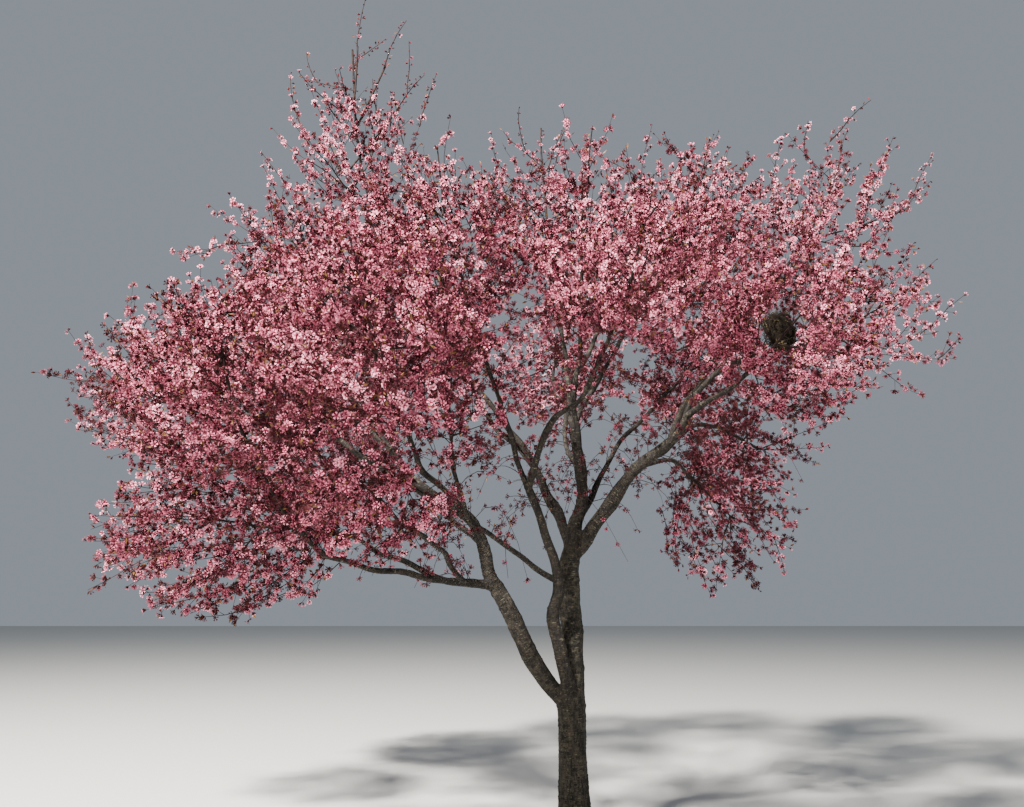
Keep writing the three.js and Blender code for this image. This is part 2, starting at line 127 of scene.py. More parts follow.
# Finer wands, which fill each mass's space from its inside out and sweep up and away from the trunk
WAND_SPACING = 210
WAND_SHELLS = (0.36, 0.54, 0.7, 0.84, 0.95)
WAND_SHARES = (0.4, 0.7, 1.0, 0.9, 0.6)
WIDEST_STRAYS = (2.6, 2.3, 2.0, 1.7, 1.3)
WAND_LENGTH = 300
WAND_REACHES = (140, 460)
WAND_FORK = 1.3
WAND_SIZES = (1, 0.8, 0.62)
WAND_ROOM = 24
WAND_APART = 80
WAND_GIRTHS = (3.4, 1.2)
WAND_RISE = 0.07
WAND_BOW = 0.06
WAND_LEAD = 0.08
WAND_TESTS = np.linspace(0.2, 1, 7)
WAND_BEADS = np.array([0.5, 0.75, 1.0])
ROOTS_FROM = {STEM: 0.3, TWIG: 0.15, WAND: 0.15}
NEW_ROOTS_FROM = 0.3
ROOTS_TO = 0.96
ROOTS_STEP = 50
SWEEP_FROM = (0, 150, 2000)
SWEEP_RISES = (-0.25, 0.6)
SWEEP_HEIGHTS = (1800, 3200)
SWEEP_WEIGHT = 0.6

# The crown's edge stands open above and at both sides: only slim whips reach out of it there
OPEN_HEIGHTS = (3200, 4400)
OPEN_LEFT = (-2500, -3500)
OPEN_RIGHT = (1850, 2600)
OPEN_LEFT_SHARE = 0.8
LEFT_SLOPE = 0.25
LEFT_SLOPE_FROM = 2000
FILL_DEPTHS = (30, 215)
LOOSE = {
    "crown_low_right": 0.5, "crown_back_low_right": 0.75, "crown_front_centre": 0.65, "crown_low_front": 0.8,
}
LOOSE_RISE = -0.8
TOP_HEIGHTS = (4800, 5500)
TOP_DEPTH = 360
CREST_LEFT = (-2500, -2000)
CREST_RIGHT = (-900, -450)
CREST_RAISE = 420
RIGHT_REACHES = (1700, 2250)
RIGHT_HEIGHTS = (4050, 4550)
RIGHT_DEPTH = 540
WHIP_DEPTH = 130
WHIP_SLIM = (0.35, 0.7)
WHIP_RIGHT = (300, 1200)
PLUME_FULL = 0.25
WHIP_GIRTHS = {STEM: (13, 8), TWIG: (9, 6.5), WAND: (6.5, 2.6)}

# Side spurs, which make a plume of every wand
SPUR_SPACING = 62
SPUR_LENGTH = 100
SPUR_RANGE = (0.12, 0.85)
SPUR_SPREAD = 0.9
SPUR_RISE = 0.15
SPUR_TAPER = 0.6
SPUR_LEAST = 0.6
SPUR_MORE = 0.8
SPUR_GIRTHS = (1.8, 1.0)

# Sprigs, which arch out of the bare limbs where the crown stands open
SPRIG_SEED = 300
SPRIG_SPACING = 44
SPRIG_LENGTHS = (150, 560)
SPRIG_SHORTNESS = 1.3
SPRIG_GIRTHS = (2.8, 1.1)
SPRIG_SEAT = 0.7
SPRIG_LEAN = 0.7
SPRIG_RISE = 0.35
SPRIG_DROOP = 1.3
SPRIG_ELBOW = 0.6
SPRIG_TESTS = np.linspace(0.4, 1, 5)
SPRIGS_KEPT = (0.5, 1.0)
SPRIG_LOWEST = 1600
SPRIG_ROOM = 10
SPRIG_FULLNESS = (0.4, 0.95)
SPRIG_HEIGHTS = (2700, 3300)
SPRIG_STRAY = 220
SPRIG_FORK = (0, 0, 1600)
SPRIG_FORK_ROOM = 700
END_SPRIGS = 7
END_STRETCH = 0.3
END_SPRIG_LENGTHS = (380, 850)

# Shoots into the gaps between the masses
GAP_SEED = 5
GAP_SPACING = 210
GAP_DEPTHS = (-160, 25)
GAP_WIDTH = 480
GAP_HEIGHTS = (3000, 4350)
GAP_RIGHT = 1900
GAP_REACHES = (180, 700)
GAP_LENGTH = 350
PARENT_FROM = 0.35
PARENT_STEP = 80

# Tips that stand out of the crown's outline to the right and on top, each with a shoot of its own
OUTER_TIPS = [
    (2860, -300, 3730), (2720, -450, 3370), (2800, -50, 4100), (2600, -250, 3840), (2910, 100, 4820),
    (2690, 50, 4280), (2970, 150, 5100), (2650, 100, 5210), (2530, 200, 5600), (2220, -50, 5200),
    (1990, 150, 5380), (1750, 50, 5220), (-2220, 50, 5740), (-2130, 200, 6030), (-1790, -100, 5560),
    (-1590, 250, 5830), (-1260, 100, 6070), (-1330, -150, 5420), (-1070, 300, 5900),
    (-2350, -100, 4960), (-1860, -300, 5190), (-360, 400, 5670), (50, 300, 5510),
    (730, 200, 5380), (1300, 300, 5370),
]
OUTER_REACHES = (220, 850)
OUTER_LENGTH = 420
OUTER_FULLNESS = 1.6
OUTER_WHIP_SHARE = 0.5
OUTER_SWEEP_WEIGHT = 1.5
OUTER_GIRTHS = (5, 1.8)

# Blossom: single flowers 29 to 41 mm across, life size to a little over, so that their number stays in bounds
CLUSTER_SPACING = 57
CLUSTER_SPREAD = {STEM: 1.8, TWIG: 1.7, WAND: 1.0, SPUR: 0.95, SPRIG: 1.5}
CLUSTER_STRAY = (0.3, 0.9)
CLUSTER_LEAN = 0.35
CLUSTER_RISE = 0.15
CLUSTER_ROOM = 3
FLOWERS_A_CLUSTER = (2, 6)
SPARSE_HEIGHTS = (4850, 5500)
SPARSE_RIGHT = (2500, 2900)
SPARSE_SHARE = 0.72
FLOWER_RADIUS = 18.5
STALK_LENGTH = 20
FLOWER_SIZES = (0.78, 1.12)
FLOWER_STRAY = 0.6
FLOWER_DROOP = 0.08
FEW_FLOWERS = 2
TIPWARD = (0.72, 1.0)
PETALS = 5
PETAL_HALF_ANGLE = 0.31
PETAL_RISE = 7.5
CLAW_AT = (1.5, 0.5)
BUD_SHARES = (0.06, 0.6)
SPARSE_BUDS = 0.6
WHIP_BUD_SHARE = 0.85
WHIP_BUD_SPACING = 0.5
LEAF_SHARE = 0.11
BUD_ENDS = (-2, 12)
BUD_WAIST = 4.6
BUD_WAIST_AT = 0.45
BUD_SIDES = 3
BLOSSOM_SEED = 20

# Slow waves through space, which give limbs and twigs the small crooks of a living tree
CROOK_SEED = 3
CROOK_WAVES = 7
CROOK_LENGTHS = (230, 520)
CROOK_SIZE = 7
CROOKED_FROM = (200, 1300)

# Old nest, with an open way in front of it
NEST_BOUGH = "right_bough"
NEST_AT = 0.97
NEST_RADII = (125, 120, 140)
NEST_RISE = 140
NEST_VIEW_TO = (-420, -6400, 1550)
NEST_VIEW_STEP = 60
NEST_VIEW_BALLS = 22
NEST_VIEW_RADIUS = 95
NEST_VIEW_BARE = 140

# Each mass of blossom: the middle of its egg, and its reach along each axis
MASSES = {
    "crown_far_left": ((-3000, -150, 3000), (840, 780, 680)),
    "crown_upper_left": ((-2500, 550, 3500), (760, 780, 700)),
    "crown_left_shoulder": ((-1950, -350, 3980), (780, 760, 740)),
    "crown_left_front": ((-2050, -1500, 2750), (800, 740, 660)),
    "crown_low_left": ((-2200, -1000, 1960), (900, 700, 540)),
    "crown_front_left": ((-1150, -2000, 2950), (700, 700, 640)),
    "crown_low_front": ((-1170, -1650, 2050), (560, 560, 370)),
    "crown_back_left": ((-2200, 1650, 2850), (880, 840, 740)),
    "crown_front_centre": ((-780, -1350, 2600), (420, 460, 370)),
    "crown_front_upper_left": ((-850, -1150, 3850), (740, 700, 700)),
    "crown_front_upper_right": ((350, -1550, 3550), (760, 720, 620)),
    "crown_right_front": ((1450, -1150, 3250), (760, 740, 640)),
    "crown_top_left": ((-1650, 100, 5050), (720, 720, 1370)),
    "crown_front_top": ((150, -500, 4350), (740, 700, 700)),
    "crown_top_centre": ((-150, 500, 4900), (800, 800, 740)),
    "crown_upper_right": ((1050, 0, 4550), (760, 760, 760)),
    "crown_top_right": ((2100, 150, 4500), (780, 760, 860)),
    "crown_far_right": ((2230, -50, 3550), (780, 760, 600)),
    "crown_low_right": ((1300, 700, 2250), (640, 600, 680)),
    "crown_back_low_right": ((1850, 1500, 2850), (760, 720, 660)),
    "crown_back_right": ((1450, 2000, 3850), (800, 780, 700)),
    "crown_back_centre": ((0, 2350, 3950), (880, 800, 680)),
    "crown_back_upper_left": ((-1350, 1750, 4150), (880, 820, 760)),
    "crown_back_upper_right": ((800, 1300, 4800), (800, 760, 720)),
}

# Each limb: its parent, where it leaves it, its own girth, the mass it carries, and its way there.
LIMBS = {
    "right_stem": ("trunk", 1, 52, "crown_top_centre",
                   [(10, 40, 1500), (20, 80, 2000), (60, 100, 2450), (40, 170, 3200)]),
    "left_stem": ("trunk", 1, 36, "crown_left_shoulder",
                  [(-320, -80, 1310), (-560, -150, 1680), (-690, -220, 2060), (-1180, -400, 2520)]),
    "middle_stem": ("trunk", 1, 44, "crown_front_upper_left",
                    [(-105, -130, 1400), (-145, -190, 1780), (-380, -480, 2560)]),
    "low_left_bough": ("left_stem", 0.41, 28, "crown_left_front", [(-900, -400, 1720), (-1600, -1000, 1880)]),
    "hanging_left_bough": ("low_left_bough", 0.36, 20, "crown_low_left", [(-1500, -700, 1960)]),
    "low_front_bough": ("low_left_bough", 0.20, 20, "crown_low_front", [(-930, -1000, 1930)]),
    "far_left_bough": ("left_stem", 0.76, 23, "crown_far_left", [(-1900, -300, 2760)]),
    "upper_left_bough": ("left_stem", 0.87, 22, "crown_upper_left", [(-1700, -50, 3080)]),
    "front_left_bough": ("left_stem", 0.70, 22, "crown_front_left", [(-1080, -1000, 2560)]),
    "back_left_bough": ("left_stem", 0.60, 22, "crown_back_left", [(-1300, 600, 2500)]),
    "middle_right_bough": ("middle_stem", 0.76, 25, "crown_front_upper_right",
                           [(-150, -680, 2730), (80, -950, 2920)]),
    "middle_left_bough": ("middle_stem", 0.52, 21, "crown_front_centre",
                          [(-430, -480, 1905), (-700, -800, 2100)]),
    "right_bough": ("right_stem", 0.37, 38, "crown_far_right",
                    [(420, -60, 2400), (680, -160, 2700), (1130, -300, 3180)]),
    "right_upright": ("right_bough", 0.56, 23, "crown_top_right", [(900, -60, 3050), (1350, 60, 3700)]),
    "right_front_bough": ("right_bough", 0.66, 21, "crown_right_front", [(1080, -620, 3000)]),
    "low_right_bough": ("right_bough", 0.28, 20, "crown_low_right", [(760, 280, 2620)]),
    "back_low_right_bough": ("right_bough", 0.44, 22, "crown_back_low_right", [(1150, 500, 2930)]),
    "lit_bough": ("right_stem", 0.40, 42, "crown_top_left",
                  [(-100, 260, 2250), (-330, 480, 2730), (-1150, 420, 3800)]),
    "back_upper_left_bough": ("lit_bough", 0.52, 22, "crown_back_upper_left", [(-800, 1000, 3350)]),
    "upper_diagonal_bough": ("right_stem", 0.79, 22, "crown_upper_right", [(430, 200, 3560)]),
    "front_upright_bough": ("right_stem", 0.72, 22, "crown_front_top", [(60, -120, 3400)]),
    "back_right_bough": ("right_stem", 0.48, 24, "crown_back_right", [(600, 900, 3000)]),
    "back_centre_bough": ("right_stem", 0.60, 22, "crown_back_centre", [(0, 1100, 3200)]),
    "back_upper_right_bough": ("right_stem", 0.83, 22, "crown_back_upper_right", [(330, 700, 3850)]),
}

# The trunk and its thick limbs are one piece, because their bark runs on over the forks.
THICK_LIMBS = ("right_stem", "left_stem", "middle_stem", "right_bough", "lit_bough", "low_left_bough")

MIDDLES = np.array([middle for middle, reach in MASSES.values()], float)
REACHES = np.array([reach for middle, reach in MASSES.values()], float)
SIZES = np.cbrt(REACHES.prod(axis=1))
MASS_NAMES = list(MASSES)


def draws(seed):
    """Seeded numbers from 0 to 1, the same as the solids use."""
    state = seed
    while True:
        state = state * 48271 % 2147483647
        yield state / 2147483647


def unit(vectors):
    return vectors / np.linalg.norm(vectors, axis=-1, keepdims=True)


def smoothstep(value, low, high):
    share = np.clip((value - low) / (high - low), 0, 1)
    return share * share * (3 - 2 * share)


def between(ends, share):
    """The value at this share of the way from the first end to the second."""
    return ends[0] + (ends[1] - ends[0]) * share


def within(values, ends):
    """Which values lie between the two ends."""
    return (values > ends[0]) & (values < ends[1])


def angle_between(first, second):
    cosine = (unit(first) * unit(second)).sum(axis=-1)
    return np.arccos(np.clip(cosine, -1, 1))


def turned_out(angles, first, second):
    """Directions at these angles round the two cross axes."""
    return np.cos(angles)[..., None] * first + np.sin(angles)[..., None] * second


def stray(draw):
    """A seeded step of up to 1 either way along each axis."""
    return np.array([next(draw) - 0.5 for axis in range(3)]) * 2


# Space


def depths_at(points):
    """How deep each point lies in each mass's egg, from its surface inwards."""
    offsets = (np.atleast_2d(points)[:, None] - MIDDLES) / REACHES
    return (1 - np.linalg.norm(offsets, axis=2)) * SIZES


def is_own_space(name, points, radii):
    """Whether points with these radii lie in the mass's own egg, and deeper in it than in any other."""
    depths = depths_at(points)
    own = MASS_NAMES.index(name)
    rivals = np.delete(depths, own, axis=1)
    room = depths[:, own, None] - rivals - BORDER_ROOM * np.reshape(radii, (-1, 1))
    return bool((depths[:, own] >= 0).all() and (room > 0).all())


# Limbs


def limb_curve(start, via, goal, seed):
    """A smooth curve through the points, with a slight wander that dies out at both ends."""
    points = np.array([start, *via, goal], float)
    knots = np.vstack([2 * points[0] - points[1], points, 2 * points[-1] - points[-2]])
    draw = draws(seed)
    size = WANDER * np.linalg.norm(points[-1] - points[0])
    swings = [stray(draw) * size for wave in WAVES]

    def curve(t):
        t = np.asarray(t, float)
        place = t * (len(points) - 1)
        k = np.minimum(np.floor(place).astype(int), len(points) - 2)
        w = (place - k)[..., None]
        before, here, there, beyond = (knots[k + step] for step in range(4))
        leave, arrive = (there - before) / 2, (beyond - here) / 2
        spot = (here + leave * w + (3 * (there - here) - 2 * leave - arrive) * w ** 2
                + (2 * (here - there) + leave + arrive) * w ** 3)
        for wave, swing in zip(WAVES, swings):
            spot = spot + np.multiply.outer(np.sin(math.pi * wave * t), swing)
        return spot

    return curve


def heading_of(curve, f):
    """Which way the curve heads at these shares of its length."""
    f = np.asarray(f, float)
    return unit(curve(np.minimum(f + HEADING_STEP, 1)) - curve(np.maximum(f - HEADING_STEP, 0)))


def axes_along(headings, chord):
    """Two directions across each heading, which don't twist along the limb."""
    across = np.array([chord[1], -chord[0], 0.0])
    if np.linalg.norm(across) < UPRIGHT_SHARE * np.linalg.norm(chord):
        across = np.array([0.0, 1.0, 0.0])
    first = unit(across - headings * (headings @ across)[:, None])
    return first, np.cross(first, headings)


class Limb:
    """The trunk, a stem or a bough: its curve from 0 to 1, where it leaves its parent, its girth at root and
    tip, the mass it carries, and the limbs that leave it."""

    def __init__(self, curve, at=0, girths=(0, 0), mass=None):
        self.curve, self.at, self.girths, self.mass = curve, at, girths, mass
        self.children = []
        stations = curve(np.linspace(0, 1, LENGTH_STATIONS))
        self.length = np.linalg.norm(np.diff(stations, axis=0), axis=1).sum()

    def radius(self, f):
        """A power of the radii adds up, so a limb is as thick as all that it still carries."""
        total = between(self.girths, f) ** PIPE_POWER
        for child in self.children:
            passed = smoothstep(f, child.at - JUNCTION_EASE, child.at + JUNCTION_EASE)
            total = total + child.base ** PIPE_POWER * (1 - passed)
        return total ** (1 / PIPE_POWER)


def grow_limbs():
    """The trunk and every stem and bough, each of which ends where it enters its mass."""
    limbs = {"trunk": Limb(lambda t: np.multiply.outer(t, (*TRUNK_LEAN, TRUNK_TOP)))}
    for index, (name, (parent, at, girth, mass, via)) in enumerate(LIMBS.items()):
        start = limbs[parent].curve(at) - (0, 0, TRUNK_RADIUS if parent == "trunk" else 0)
        own = MASS_NAMES.index(mass)
        whole = limb_curve(start, via, MIDDLES[own], index + LIMB_SEED)
        ways = np.arange(1, 0, -ENTRY_STEP)
        outside = depths_at(whole(ways))[:, own] < (1 - ENTRY) * SIZES[own]
        end = ways[np.argmax(outside)]
        limb = Limb(lambda f, whole=whole, end=end: whole(np.asarray(f) * end), at, (girth, TIP_GIRTH), mass)
        limbs[name] = limb
        limbs[parent].children.append(limb)
    for limb in reversed(limbs.values()):
        limb.base = limb.radius(0)
    return limbs


limbs = grow_limbs()
nest_middle = limbs[NEST_BOUGH].curve(NEST_AT) + (0, 0, NEST_RISE)
nest_ahead = unit(np.array(NEST_VIEW_TO, float) - nest_middle)


def nest_way(points):
    """How far each point is from the straight way between the nest and the camera's side."""
    offsets = points - nest_middle
    along = (offsets @ nest_ahead).clip(0, None)
    return np.linalg.norm(offsets - along[:, None] * nest_ahead, axis=1)


def limb_balls():
    """Balls along every limb, one round the nest, and a row that leaves the nest open to the front."""
    centres, radii = [], []
    for name in LIMBS:
        f = np.arange(0, 1, BALL_STEP / limbs[name].length)
        centres.append(limbs[name].curve(f))
        radii.append(limbs[name].radius(f))
    steps = np.arange(1, NEST_VIEW_BALLS + 1) * NEST_VIEW_STEP
    centres += [nest_middle[None], nest_middle + np.multiply.outer(steps, nest_ahead)]
    radii += [[max(NEST_RADII)], [NEST_VIEW_RADIUS] * NEST_VIEW_BALLS]
    return np.concatenate(centres), np.concatenate(radii)


BALL_CENTRES, BALL_RADII = limb_balls()


def limb_gaps(points):
    """The room between each point and each ball."""
    return np.linalg.norm(points[:, None] - BALL_CENTRES, axis=2) - BALL_RADII


def is_clear(name, points, radii):
    """Whether balls of these radii keep to the mass's own space and off every limb."""
    radii = np.broadcast_to(radii, len(points))
    if not is_own_space(name, points, radii):
        return False
    return bool((limb_gaps(points) - radii[:, None] >= LIMB_ROOM).all())


def is_off_limbs(curve):
    """Whether the outer part of a sprig or shoot keeps off every limb."""
    return bool((limb_gaps(curve(SPRIG_TESTS)) > SPRIG_ROOM).all())


# Twigs


class Shoot:
    """A stem, twig, wand or spur: its curve from 0 to 1, its girth at root and tip, and where it flowers."""

    def __init__(self, curve, girths, length, rank, plume=None, fullness=1):
        self.curve, self.girths, self.length = curve, girths, length
        self.flowers_from, self.rank = FLOWERS_FROM[rank], rank
        self.plume, self.fullness = plume, fullness

    def is_whip(self):
        """Whether it is one of the stout, budding shoots over the crown's top."""
        return self.curve(1.0)[2] > WHIP_HEIGHT


def straight(root, tip):
    return lambda f: root + np.multiply.outer(f, tip - root)


def bend(start, elbow, end):
    """A smooth curve that sets out for the elbow and comes to the end."""
    def curve(t):
        t = np.asarray(t, float)[..., None]
        return (1 - t) ** 2 * start + 2 * t * (1 - t) * elbow + t ** 2 * end
    return curve


def in_stretches(points):
    """A curve of straight stretches through the points."""
    points = np.array(points)
    count = len(points) - 1

    def curve(t):
        place = np.asarray(t, float) * count
        k = np.minimum(np.floor(place).astype(int), count - 1)
        return points[k] + (points[k + 1] - points[k]) * (place - k)[..., None]

    return curve


def clamp_length(way, longest):
    return way * min(1, longest / np.linalg.norm(way))


def spiral_goals(own, count, shares, seed):
    """Points spread evenly over the mass's egg, at these shares of its reach in turn."""
    k = np.arange(count)
    height = 1 - 2 * (k + 0.5) / count
    share = np.resize(shares, count)
    ring = share * np.sqrt(1 - height ** 2)
    angle = k * GOLDEN_ANGLE + seed
    offsets = np.stack([ring * np.cos(angle), ring * np.sin(angle), share * height], axis=1)
    return MIDDLES[own] + REACHES[own] * offsets


def source_shoots(limb, seed):
    """The stem, twigs and sprays of the limb's mass, by the rule of its solid."""
    own = MASS_NAMES.index(limb.mass)
    count = round(4 * math.pi * (SIZES[own] / GOAL_SPACING) ** 2)
    goals = spiral_goals(own, count, [GOAL_SHARE, GOAL_SHARE, INNER_SHARE], seed)
    taken = []
    sprays = []

    def add_spray(root, goal):
        whole = clamp_length(goal - root, LONGEST_SPRAY)
        width = SPRAY_WIDTH * min(1, np.linalg.norm(whole) / SPRAY_LENGTH)
        slim = WHIP_SHARE if goal[2] > WHIP_HEIGHT else 1
        for size in SPRAY_SIZES:
            waist = slim * width * size
            line = straight(root, root + whole * size)
            test_widths, bead_widths = (
                waist * np.minimum(f / SPRAY_WAIST, (1 - f) / (1 - SPRAY_WAIST))
                for f in (SPRAY_TESTS, BEADS))
            if not is_clear(limb.mass, line(SPRAY_TESTS), test_widths):
                continue
            beads = line(BEADS)
            if any((np.linalg.norm(beads[:, None] - other, axis=2) < bead_widths[:, None] + radii).any()
                   for other, radii in taken):
                continue
            taken.append((beads, bead_widths))
            sprays.append((root, line(1.0)))
            return

    heading = heading_of(limb.curve, 1)
    start = limb.curve(1) + CLEARANCE * heading
    crest = MIDDLES[own] + heading * STEM_PAST * REACHES[own][0]
    crest[2] += STEM_RISE * REACHES[own][2] * max(0, STEM_LIFT + heading[2])
    elbow = start + heading * STEM_ELBOW * np.linalg.norm(crest - start)
    stem = in_stretches([start, elbow, crest])
    girths = (TIP_GIRTH, STEM_TIP_GIRTH)
    shoots = [Shoot(bend(start, elbow, crest), girths, np.linalg.norm(crest - start), STEM)]
    root_lines = [(stem, STEM_BARE)]
    stem_way = crest - start
    for goal in goals[::GOALS_A_TWIG]:
        ahead = (goal - start) @ stem_way / (stem_way @ stem_way)
        place = TWIG_ROOTS["share"] * ahead - TWIG_ROOTS["back"]
        root = stem(np.clip(place, TWIG_ROOTS["first"], TWIG_ROOTS["last"]))
        distance = np.linalg.norm(goal - root)
        twig = bend(root, (root + goal) / 2 - (0, 0, TWIG_SAG * distance), goal)
        wood = max(LEAST_WOOD, 1 - SPRAY_SEAT * SPRAY_LENGTH / distance)
        if not is_clear(limb.mass, twig(TWIG_TESTS * wood), TWIG_RADIUS):
            continue
        tip = twig(wood)
        add_spray(root + SPRAY_SEAT * (tip - root), goal)
        root_lines.append((straight(root, tip), TWIG_BARE))
        shoots.append(Shoot(straight(root, tip), TWIG_GIRTHS, np.linalg.norm(tip - root), TWIG))
    for k, goal in enumerate(goals):
        if k % GOALS_A_TWIG == 0:
            continue
        best = None
        for curve, first in root_lines:
            for f in np.arange(first, LAST_ROOT, ROOT_STEP):
                way = goal - curve(f)
                misfit = abs(np.linalg.norm(way) - SPRAY_LENGTH)
                if angle_between(way, heading_of(curve, f)) > WIDEST_FORK:
                    continue
                if best is None or misfit < best[0]:
                    best = (misfit, curve(f))
        if best:
            add_spray(best[1], goal)
    for root, tip in sprays:
        shoots.append(wand(root, tip, tip - root, len(shoots) + seed))
    return shoots


def wand(root, tip, heading, seed):
    """A flowering twig that leaves along its parent's heading, bows a little and turns up to its tip."""
    length = np.linalg.norm(tip - root)
    bow = stray(draws(seed * 7 + 3)) * WAND_BOW * length
    elbow = (root + tip) / 2 + bow - (0, 0, WAND_RISE * length) + WAND_LEAD * length * unit(heading)
    return Shoot(bend(root, elbow, tip), WAND_GIRTHS, length, WAND)


def crest_height(x, z):
    """Height as the crown's top goes by it: the crest over the left stem stays full further up."""
    crest = smoothstep(x, *CREST_LEFT) * (1 - smoothstep(x, *CREST_RIGHT))
    return z - CREST_RAISE * crest


def openness(place):
    """0 where the crown is full up to its edge, and 1 where only whips reach out of it."""
    height = crest_height(place[0], place[2]) + LEFT_SLOPE * max(0, -place[0] - LEFT_SLOPE_FROM)
    return max(smoothstep(height, *OPEN_HEIGHTS), smoothstep(place[0], *OPEN_RIGHT),
               OPEN_LEFT_SHARE * smoothstep(place[0], *OPEN_LEFT))


def right_tip(place):
    """1 in the low right-hand tip of the crown, where thick plumes stand clear of each other."""
    return smoothstep(place[0], *RIGHT_REACHES) * (1 - smoothstep(place[2], *RIGHT_HEIGHTS))


def fill_depth(place):
    """How far under the crown's surface the finer wands end."""
    top = TOP_DEPTH * smoothstep(crest_height(place[0], place[2]), *TOP_HEIGHTS)
    return between(FILL_DEPTHS, openness(place)) + top + RIGHT_DEPTH * right_tip(place)


def fullness_of(tip):
    """How full a plume with this tip is: slim where it reaches out of the crown's open edge."""
    deepest = np.sort(depths_at(tip)[0])
    outermost = 1 - smoothstep(deepest[-2], -WHIP_DEPTH, 0)
    slim = between(WHIP_SLIM, smoothstep(tip[0], *WHIP_RIGHT))
    return 1 - (1 - slim) * openness(tip) * outermost + PLUME_FULL * right_tip(tip) * outermost


def sweep_at(place, is_loose=False):
    """Which way wands grow here: away from the trunk, and the more upwards the higher they are."""
    rise = LOOSE_RISE if is_loose else between(SWEEP_RISES, smoothstep(place[2], *SWEEP_HEIGHTS))
    return unit(unit(place - SWEEP_FROM) + (0, 0, rise))


def roots_along(parent, first, last, step):
    """Where shoots can leave a limb or shoot, every step millimetres, each place with its heading."""
    f = np.arange(first, last, step / parent.length)
    return np.hstack([parent.curve(f), heading_of(parent.curve, f)])


def best_root(roots, goal, reaches, length, sweep, sweep_weight, widest_stray=math.inf):
    """The root, with its heading, of a shoot of about this length to the goal that turns off it gently."""
    ways = goal - roots[:, :3]
    spans = np.linalg.norm(ways, axis=1)
    strays = angle_between(ways, sweep)
    fits = within(spans, reaches) & (strays < widest_stray)
    fits &= angle_between(ways, roots[:, 3:]) < WAND_FORK
    if not fits.any():
        return None
    misfits = abs(spans / length - 1) + sweep_weight * strays
    best = np.argmin(np.where(fits, misfits, np.inf))
    return roots[best, :3], roots[best, 3:]


def finer_wands(name, shoots, seed):
    """Wands that fill the mass from its inside out, each from the best place on what is already there."""
    own = MASS_NAMES.index(name)
    roots = [roots_along(shoot, ROOTS_FROM[shoot.rank], ROOTS_TO, ROOTS_STEP) for shoot in shoots]
    mids = [shoot.curve(WAND_BEADS) for shoot in shoots if shoot.rank == WAND]
    wands = []
    for shell, share, widest_stray in zip(WAND_SHELLS, WAND_SHARES, WIDEST_STRAYS):
        count = round(4 * math.pi * (SIZES[own] * shell / WAND_SPACING) ** 2 * share * LOOSE.get(name, 1))
        for goal in spiral_goals(own, count, [shell], seed + shell):
            if depths_at(goal).max() < fill_depth(goal):
                continue
            found = best_root(np.concatenate(roots), goal, WAND_REACHES, WAND_LENGTH,
                              sweep_at(goal, name in LOOSE), SWEEP_WEIGHT, widest_stray)
            if not found or min(np.linalg.norm(mid - goal, axis=1).min() for mid in mids) < WAND_APART:
                continue
            root, heading = found
            for size in WAND_SIZES:
                grown = wand(root, root + (goal - root) * size, heading, len(wands) * 13 + seed)
                if is_clear(name, grown.curve(WAND_TESTS), WAND_ROOM):
                    wands.append(grown)
                    mids.append(grown.curve(WAND_BEADS))
                    roots.append(roots_along(grown, NEW_ROOTS_FROM, ROOTS_TO, ROOTS_STEP))
                    break
    return wands


def spurs_of(shoot, seed):
    """Short side shoots, longest low on the wand, each as its own small plume."""
    draw = draws(seed * 11 + 5)
    low, high = SPUR_RANGE
    count = int(shoot.length * (high - low) / SPUR_SPACING * shoot.fullness ** 0.5)
    f = low + (high - low) * (np.arange(count) + [next(draw) for k in range(count)]) / max(count, 1)
    headings = heading_of(shoot.curve, f)
    axes = axes_along(headings, shoot.curve(1.0) - shoot.curve(0.0))
    out = turned_out(np.arange(count) * GOLDEN_ANGLE + seed, *axes)
    ways = unit(headings + SPUR_SPREAD * out + (0, 0, SPUR_RISE))
    whole = SPUR_LENGTH * min(1, shoot.length / WAND_LENGTH) * shoot.fullness
    spurs = []
    for root, way, share in zip(shoot.curve(f), ways, 1 - f):
        length = whole * share ** SPUR_TAPER * (SPUR_LEAST + SPUR_MORE * next(draw))
        line = straight(root, root + way * length)
        spurs.append(Shoot(line, SPUR_GIRTHS, length, SPUR, shoot.plume, shoot.fullness))
    return spurs


